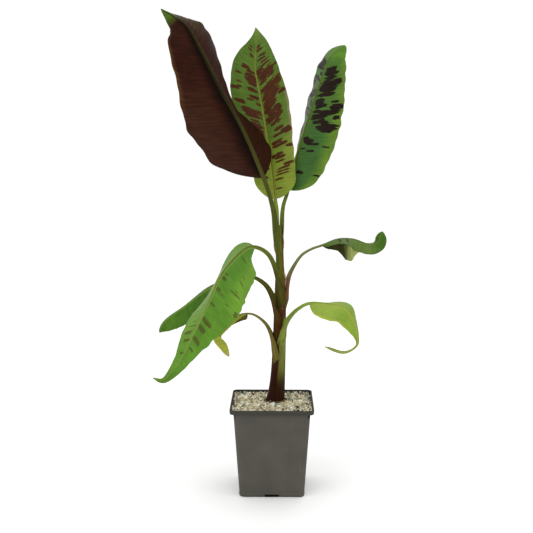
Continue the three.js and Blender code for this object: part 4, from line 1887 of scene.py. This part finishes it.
LOW_LEFT = LeafForm(
    name="low_left",
    heading=-132,
    leaves_at=185,
    stalk_radius=(3.2, 1.8),
    stalk=((-1, 2, 203), (-8, 10, 220), (-21, 18, 231)),
    rib=(
        (-34, 22, 234), (-49, 28, 230), (-66, 32, 219), (-78, 30, 207), (-79, 22, 196),
        (-70, 14, 187), (-58, 8, 177.5),
    ),
    facing=((0, -0.3, 1), (-1, -0.6, 0.3), (-0.3, -1, -0.3)),
    skew=(-10, 15, 20),
    left=Half((6, 10, 12, 12, 7), ((-5, -15), (-30, -40), (-30, -40))),
    right=Half((10, 14, 14, 12, 7), ((-80, -90), (-60, -80), (-30, -40))),
    finish=YELLOW_LEAF,
    stalk_tints=StalkTints(("#676427", "#8f8f4b", "#9c9c42"), ("#625823", "#80773b", "#858034")),
    upper="#939b34",
    under="#635f1e",
    upper_washes=(Wash("#ae8b6a", past(0.9, 0.97), ALL, 0.8), Wash("#798731", up_to(0.3, 0.6), ALL, 0.6)),
    under_washes=(Wash("#989f3a", past(0.4, 0.6), ALL, 0.8), Wash("#514217", up_to(0.2, 0.4), ALL, 0.5)),
    blotches=marks(
        (0.25, 3, 12, 2), (0.4, -3, -10, 2),
    ),
    blotch_depth=0.4,
    curls=True,
    rows=180,
    seed=606,
)

HIGH_RIGHT = LeafForm(
    name="high_right",
    heading=15,
    leaves_at=255,
    stalk_radius=(2.8, 2.1),
    stalk=((21.5, 10, 275), (26, 12, 293), (38, 15, 313), (52, 20, 322)),
    rib=(
        (67, 24, 327), (88, 28, 335), (107, 28, 335), (122, 25, 330), (133, 20, 327),
        (141, 15, 332), (146, 10, 346),
    ),
    facing=((0, -0.3, 1), (0, -0.3, 1), (-0.2, -1, 0.6), (0, -1, 0)),
    skew=(-10, 10, 10),
    left=Half((6, 18, 36, 20, 8, 8), ((-80, -90), (-85, -95), (-75, -80), (-30, -35), (-5, -5))),
    right=Half((8, 14, 18, 15, 12, 9), ((0, -8), (-5, -12), (-5, -10), (0, 0))),
    finish=OLIVE_LEAF,
    stalk_tints=StalkTints(("#b3ba84", "#66793a", "#55702f"), ("#5f2c18", "#76583a", "#55552c")),
    upper="#4b6626",
    under="#474b23",
    upper_washes=(
        Wash("#3a6117", past(0.7, 0.85), ALL, 0.9),
        Wash("#667c3c", (0.3, 0.5, 0.65, 0.8), ALL, 0.5),
    ),
    under_washes=(
        # Painted shade: dark olive on the left half near the foot, which hangs inside the fold.
        Wash("#2c2a0e", up_to(0.3, 0.42), up_to(-0.2, 0.0), 0.8),
        # Pale grey-green on the left half: the underside's real glaucous bloom, with painted sheen on it.
        Wash("#a2aa64", (0.3, 0.42, 0.7, 0.85), up_to(-0.4, -0.1), 0.8),
    ),
    blotches=marks(
        (0.12, -2, -9, 2.4), (0.2, -3, -12, 3), (0.3, -4, -14, 3), (0.38, -3, -9, 2),
        (0.25, 3, 10, 2.4), (0.36, 4, 13, 2),
    ),
    blotch_depth=0.85,
    rows=200,
    seed=707,
)

LOW_RIGHT = LeafForm(
    name="low_right",
    heading=-50,
    leaves_at=206,
    stalk_radius=(3.4, 2),
    stalk=((18.5, -7, 221), (24, -17, 235), (34, -26, 248)),
    rib=(
        (49, -34, 257), (73, -42, 257), (92, -46, 253), (104, -48, 237), (110, -48, 217),
        (108, -48, 204), (92, -50, 196), (68, -54, 204),
    ),
    facing=((0, -1, 0.5),),
    skew=(-20, 0, 12, 0),
    foot_round=0.08,
    tip_from=0.9,
    left=Half((20, 12, 20, 6, 2, 2, 2), ((-70, -85), (-40, -60), (-50, -60), (-30, -30))),
    right=Half((10, 20, 20, 13, 2, 2, 2), ((-10, -20), (-10, -20))),
    finish=PALE_LEAF,
    stalk_tints=StalkTints(("#7c8b3d", "#859c3d", "#9da74c"), ("#768033", "#7c8b3d", "#8f9a42")),
    upper="#7b9634",
    under="#7b8f3c",
    upper_washes=(
        Wash("#8ea243", up_to(0.2, 0.4), ALL, 0.6),
        Wash("#a5ab45", ALL, past(0.8, 0.97), 0.8),
        Wash("#637123", past(0.58, 0.66), ALL, 0.8),
    ),
    curls=True,
    rows=240,
    seed=808,
)

FORMS = (TALL_LEFT, TALL_MIDDLE, TALL_RIGHT, FRONT_LEFT, BACK_LEFT, LOW_LEFT, HIGH_RIGHT, LOW_RIGHT)


# ---- Scraps round the stem ---------------------------------------------------------------------
@dataclass
class Scraps:
    """The dry margins of the sheaths, and crumbs at the stem's foot.

    A margin is its angle round the stem, its lowest and highest point, and how far it stands out.
    """

    seed: int = 31
    crumbs: int = 30
    crumb_size: Pair = (0.7, 2.0)
    crumb_shape: Triple = (1.6, 0.8, 0.4)
    crumb_ring: Pair = (11.5, 15.5)
    crumb_lift: float = 0.6
    crumb_jitter: float = 0.2
    margin_thickness: float = 0.35
    margin_columns: int = 6
    margin_rows: int = 40
    margins: tuple[tuple[float, float, float, float], ...] = (
        (192.0, 318.0, 338.0, 1.7),
        (-4.0, 322.0, 343.0, 1.8),
        (-12.0, 272.0, 292.0, 2.2),
        (150.0, 250.0, 270.0, 1.5),
    )

    def build_margins(self, stem: Stem) -> None:
        """Makes the papery margins that stand off where a sheath opens.

        Args:
            stem: the stem that they stand on.
        """
        finish = CrumbFinish("papery_margin", "#d8a898", "#b07a62", 300.0, 0.6).material()
        for number, (turn, low, high, out) in enumerate(self.margins):

            def place(across: Array, along: Array) -> Array:
                """Stands a tapering strip on the stem."""
                z = between(low, high, along)
                rise = np.sin(math.pi * along) ** 0.7
                reach = stem.radius(np.minimum(z, stem.fork_z)) - 1.0 + (1.0 + out * rise) * across
                return stem.around(turn + 10 * across * wobble(number + 50, z, 14.0), reach, z)

            mesh = bent_grid(self.margin_columns, self.margin_rows, place)
            piece = add_piece(f"sheath_margin_{number + 1}", mesh, [finish], ["pseudostem"])
            thicken(piece, self.margin_thickness)

    def build_crumbs(self, grit: Grit, name: str, seed: int, finish: CrumbFinish) -> None:
        """Makes one kind of crumb of mix and dry leaf round the stem's foot.

        Args:
            grit: the grit that they lie on.
            name: the piece's name.
            seed: names the scatter.
            finish: the crumbs' finish.
        """
        draw = np.random.default_rng(seed)
        heap = bmesh.new()
        for _ in range(self.crumbs):
            angle = draw.uniform(0, math.tau)
            ring = draw.uniform(*self.crumb_ring)
            x = grit.stem_middle[0] + ring * math.cos(angle)
            y = grit.stem_middle[1] + ring * math.sin(angle)
            z = float(grit.top(np.hypot(x, y))) + self.crumb_lift
            size = [draw.uniform(*self.crumb_size) * share for share in self.crumb_shape]
            turn = Matrix.Rotation(draw.uniform(0, math.tau), 4, "Z")
            for corner in add_lump(heap, (x, y, z), turn, size):
                corner.co += Vector(draw.normal(0.0, self.crumb_jitter, size=3))
        mesh = mesh_from(heap, "crumbs")
        add_piece(name, mesh, [finish.material()], ["grit_top"], 25.0)

    def build(self, stem: Stem, grit: Grit) -> None:
        """Makes the margins and the crumbs."""
        self.build_margins(stem)
        for name, seed, finish in (
            ("foot_crumbs", self.seed, CrumbFinish("dark_crumbs", "#2c180c", "#0c0603", 700.0)),
            ("foot_chips", self.seed + 1, CrumbFinish("dry_chips", "#7a6a3c", "#43361a", 700.0)),
        ):
            self.build_crumbs(grit, name, seed, finish)


# ---- The studio --------------------------------------------------------------------------------
@dataclass
class Studio:
    """A pale floor, soft light and the camera, in metres and watts.

    A lamp is its name, its place, its width and its power.
    """

    floor_size: float = 90.0
    floor_paint: str = "#fbfbfa"
    world_strength: float = 1.05
    camera_place: Triple = (0.008, -1.217, 0.450)
    camera_tilt: float = 83.0
    camera_turn: float = 0.73
    lens: float = 62.68
    sensor: float = 36.0
    aim: Triple = (0.0, 0.0, 0.3)
    lamps: tuple[tuple[str, Triple, float, float], ...] = (
        ("key", (-1.3, -1.6, 1.9), 1.6, 12.0),
        ("fill", (1.6, -1.2, 1.2), 1.8, 4.0),
        ("back", (0.4, 1.8, 1.8), 1.6, 6.0),
    )

    def build_floor(self) -> None:
        """Lays the floor."""
        heap = bmesh.new()
        bmesh.ops.create_grid(heap, x_segments=4, y_segments=4, size=self.floor_size / 2)
        mesh = mesh_from(heap, "floor", 1.0)
        mesh.materials.append(Shader("floor").finish(painted(self.floor_paint), 0.9))
        add_object("floor", mesh)

    def build_lights(self) -> None:
        """Hangs the soft boxes and lights the room evenly."""
        world = bpy.data.worlds.new("room")
        bpy.context.scene.world = world
        world.use_nodes = True
        background = world.node_tree.nodes["Background"]
        background.inputs["Color"].default_value = (1.0, 1.0, 1.0, 1.0)
        background.inputs["Strength"].default_value = self.world_strength
        for name, place, size, power in self.lamps:
            light = bpy.data.lights.new(name, "AREA")
            light.size = size
            light.energy = power
            lamp = add_object(name, light)
            lamp.location = place
            aim = Vector(self.aim) - Vector(place)
            lamp.rotation_euler = aim.to_track_quat("-Z", "Y").to_euler()

    def build_camera(self) -> None:
        """Sets the camera up in front, a little above the leaves' middle."""
        data = bpy.data.cameras.new("camera")
        data.lens = self.lens
        data.sensor_width = self.sensor
        camera = add_object("camera", data)
        camera.location = self.camera_place
        camera.rotation_euler = (math.radians(self.camera_tilt), 0.0, math.radians(self.camera_turn))
        bpy.context.scene.camera = camera

    def build(self) -> None:
        """Makes the floor, the lights and the camera."""
        self.build_camera()
        self.build_floor()
        self.build_lights()
        bpy.context.scene.view_settings.view_transform = "Standard"
        bpy.context.scene.view_settings.look = "None"


def main() -> None:
    """Builds the studio, then the pot, the grit and the plant."""
    logging.basicConfig(level=logging.INFO, format="%(name)s: %(message)s", force=True)
    Studio().build()
    Pot().build()
    grit = Grit()
    grit.build()
    stem = Stem()
    stem.build()
    for form in FORMS:
        Leaf(form, stem).build()
    Scraps().build(stem, grit)


if __name__ == "__main__":
    main()
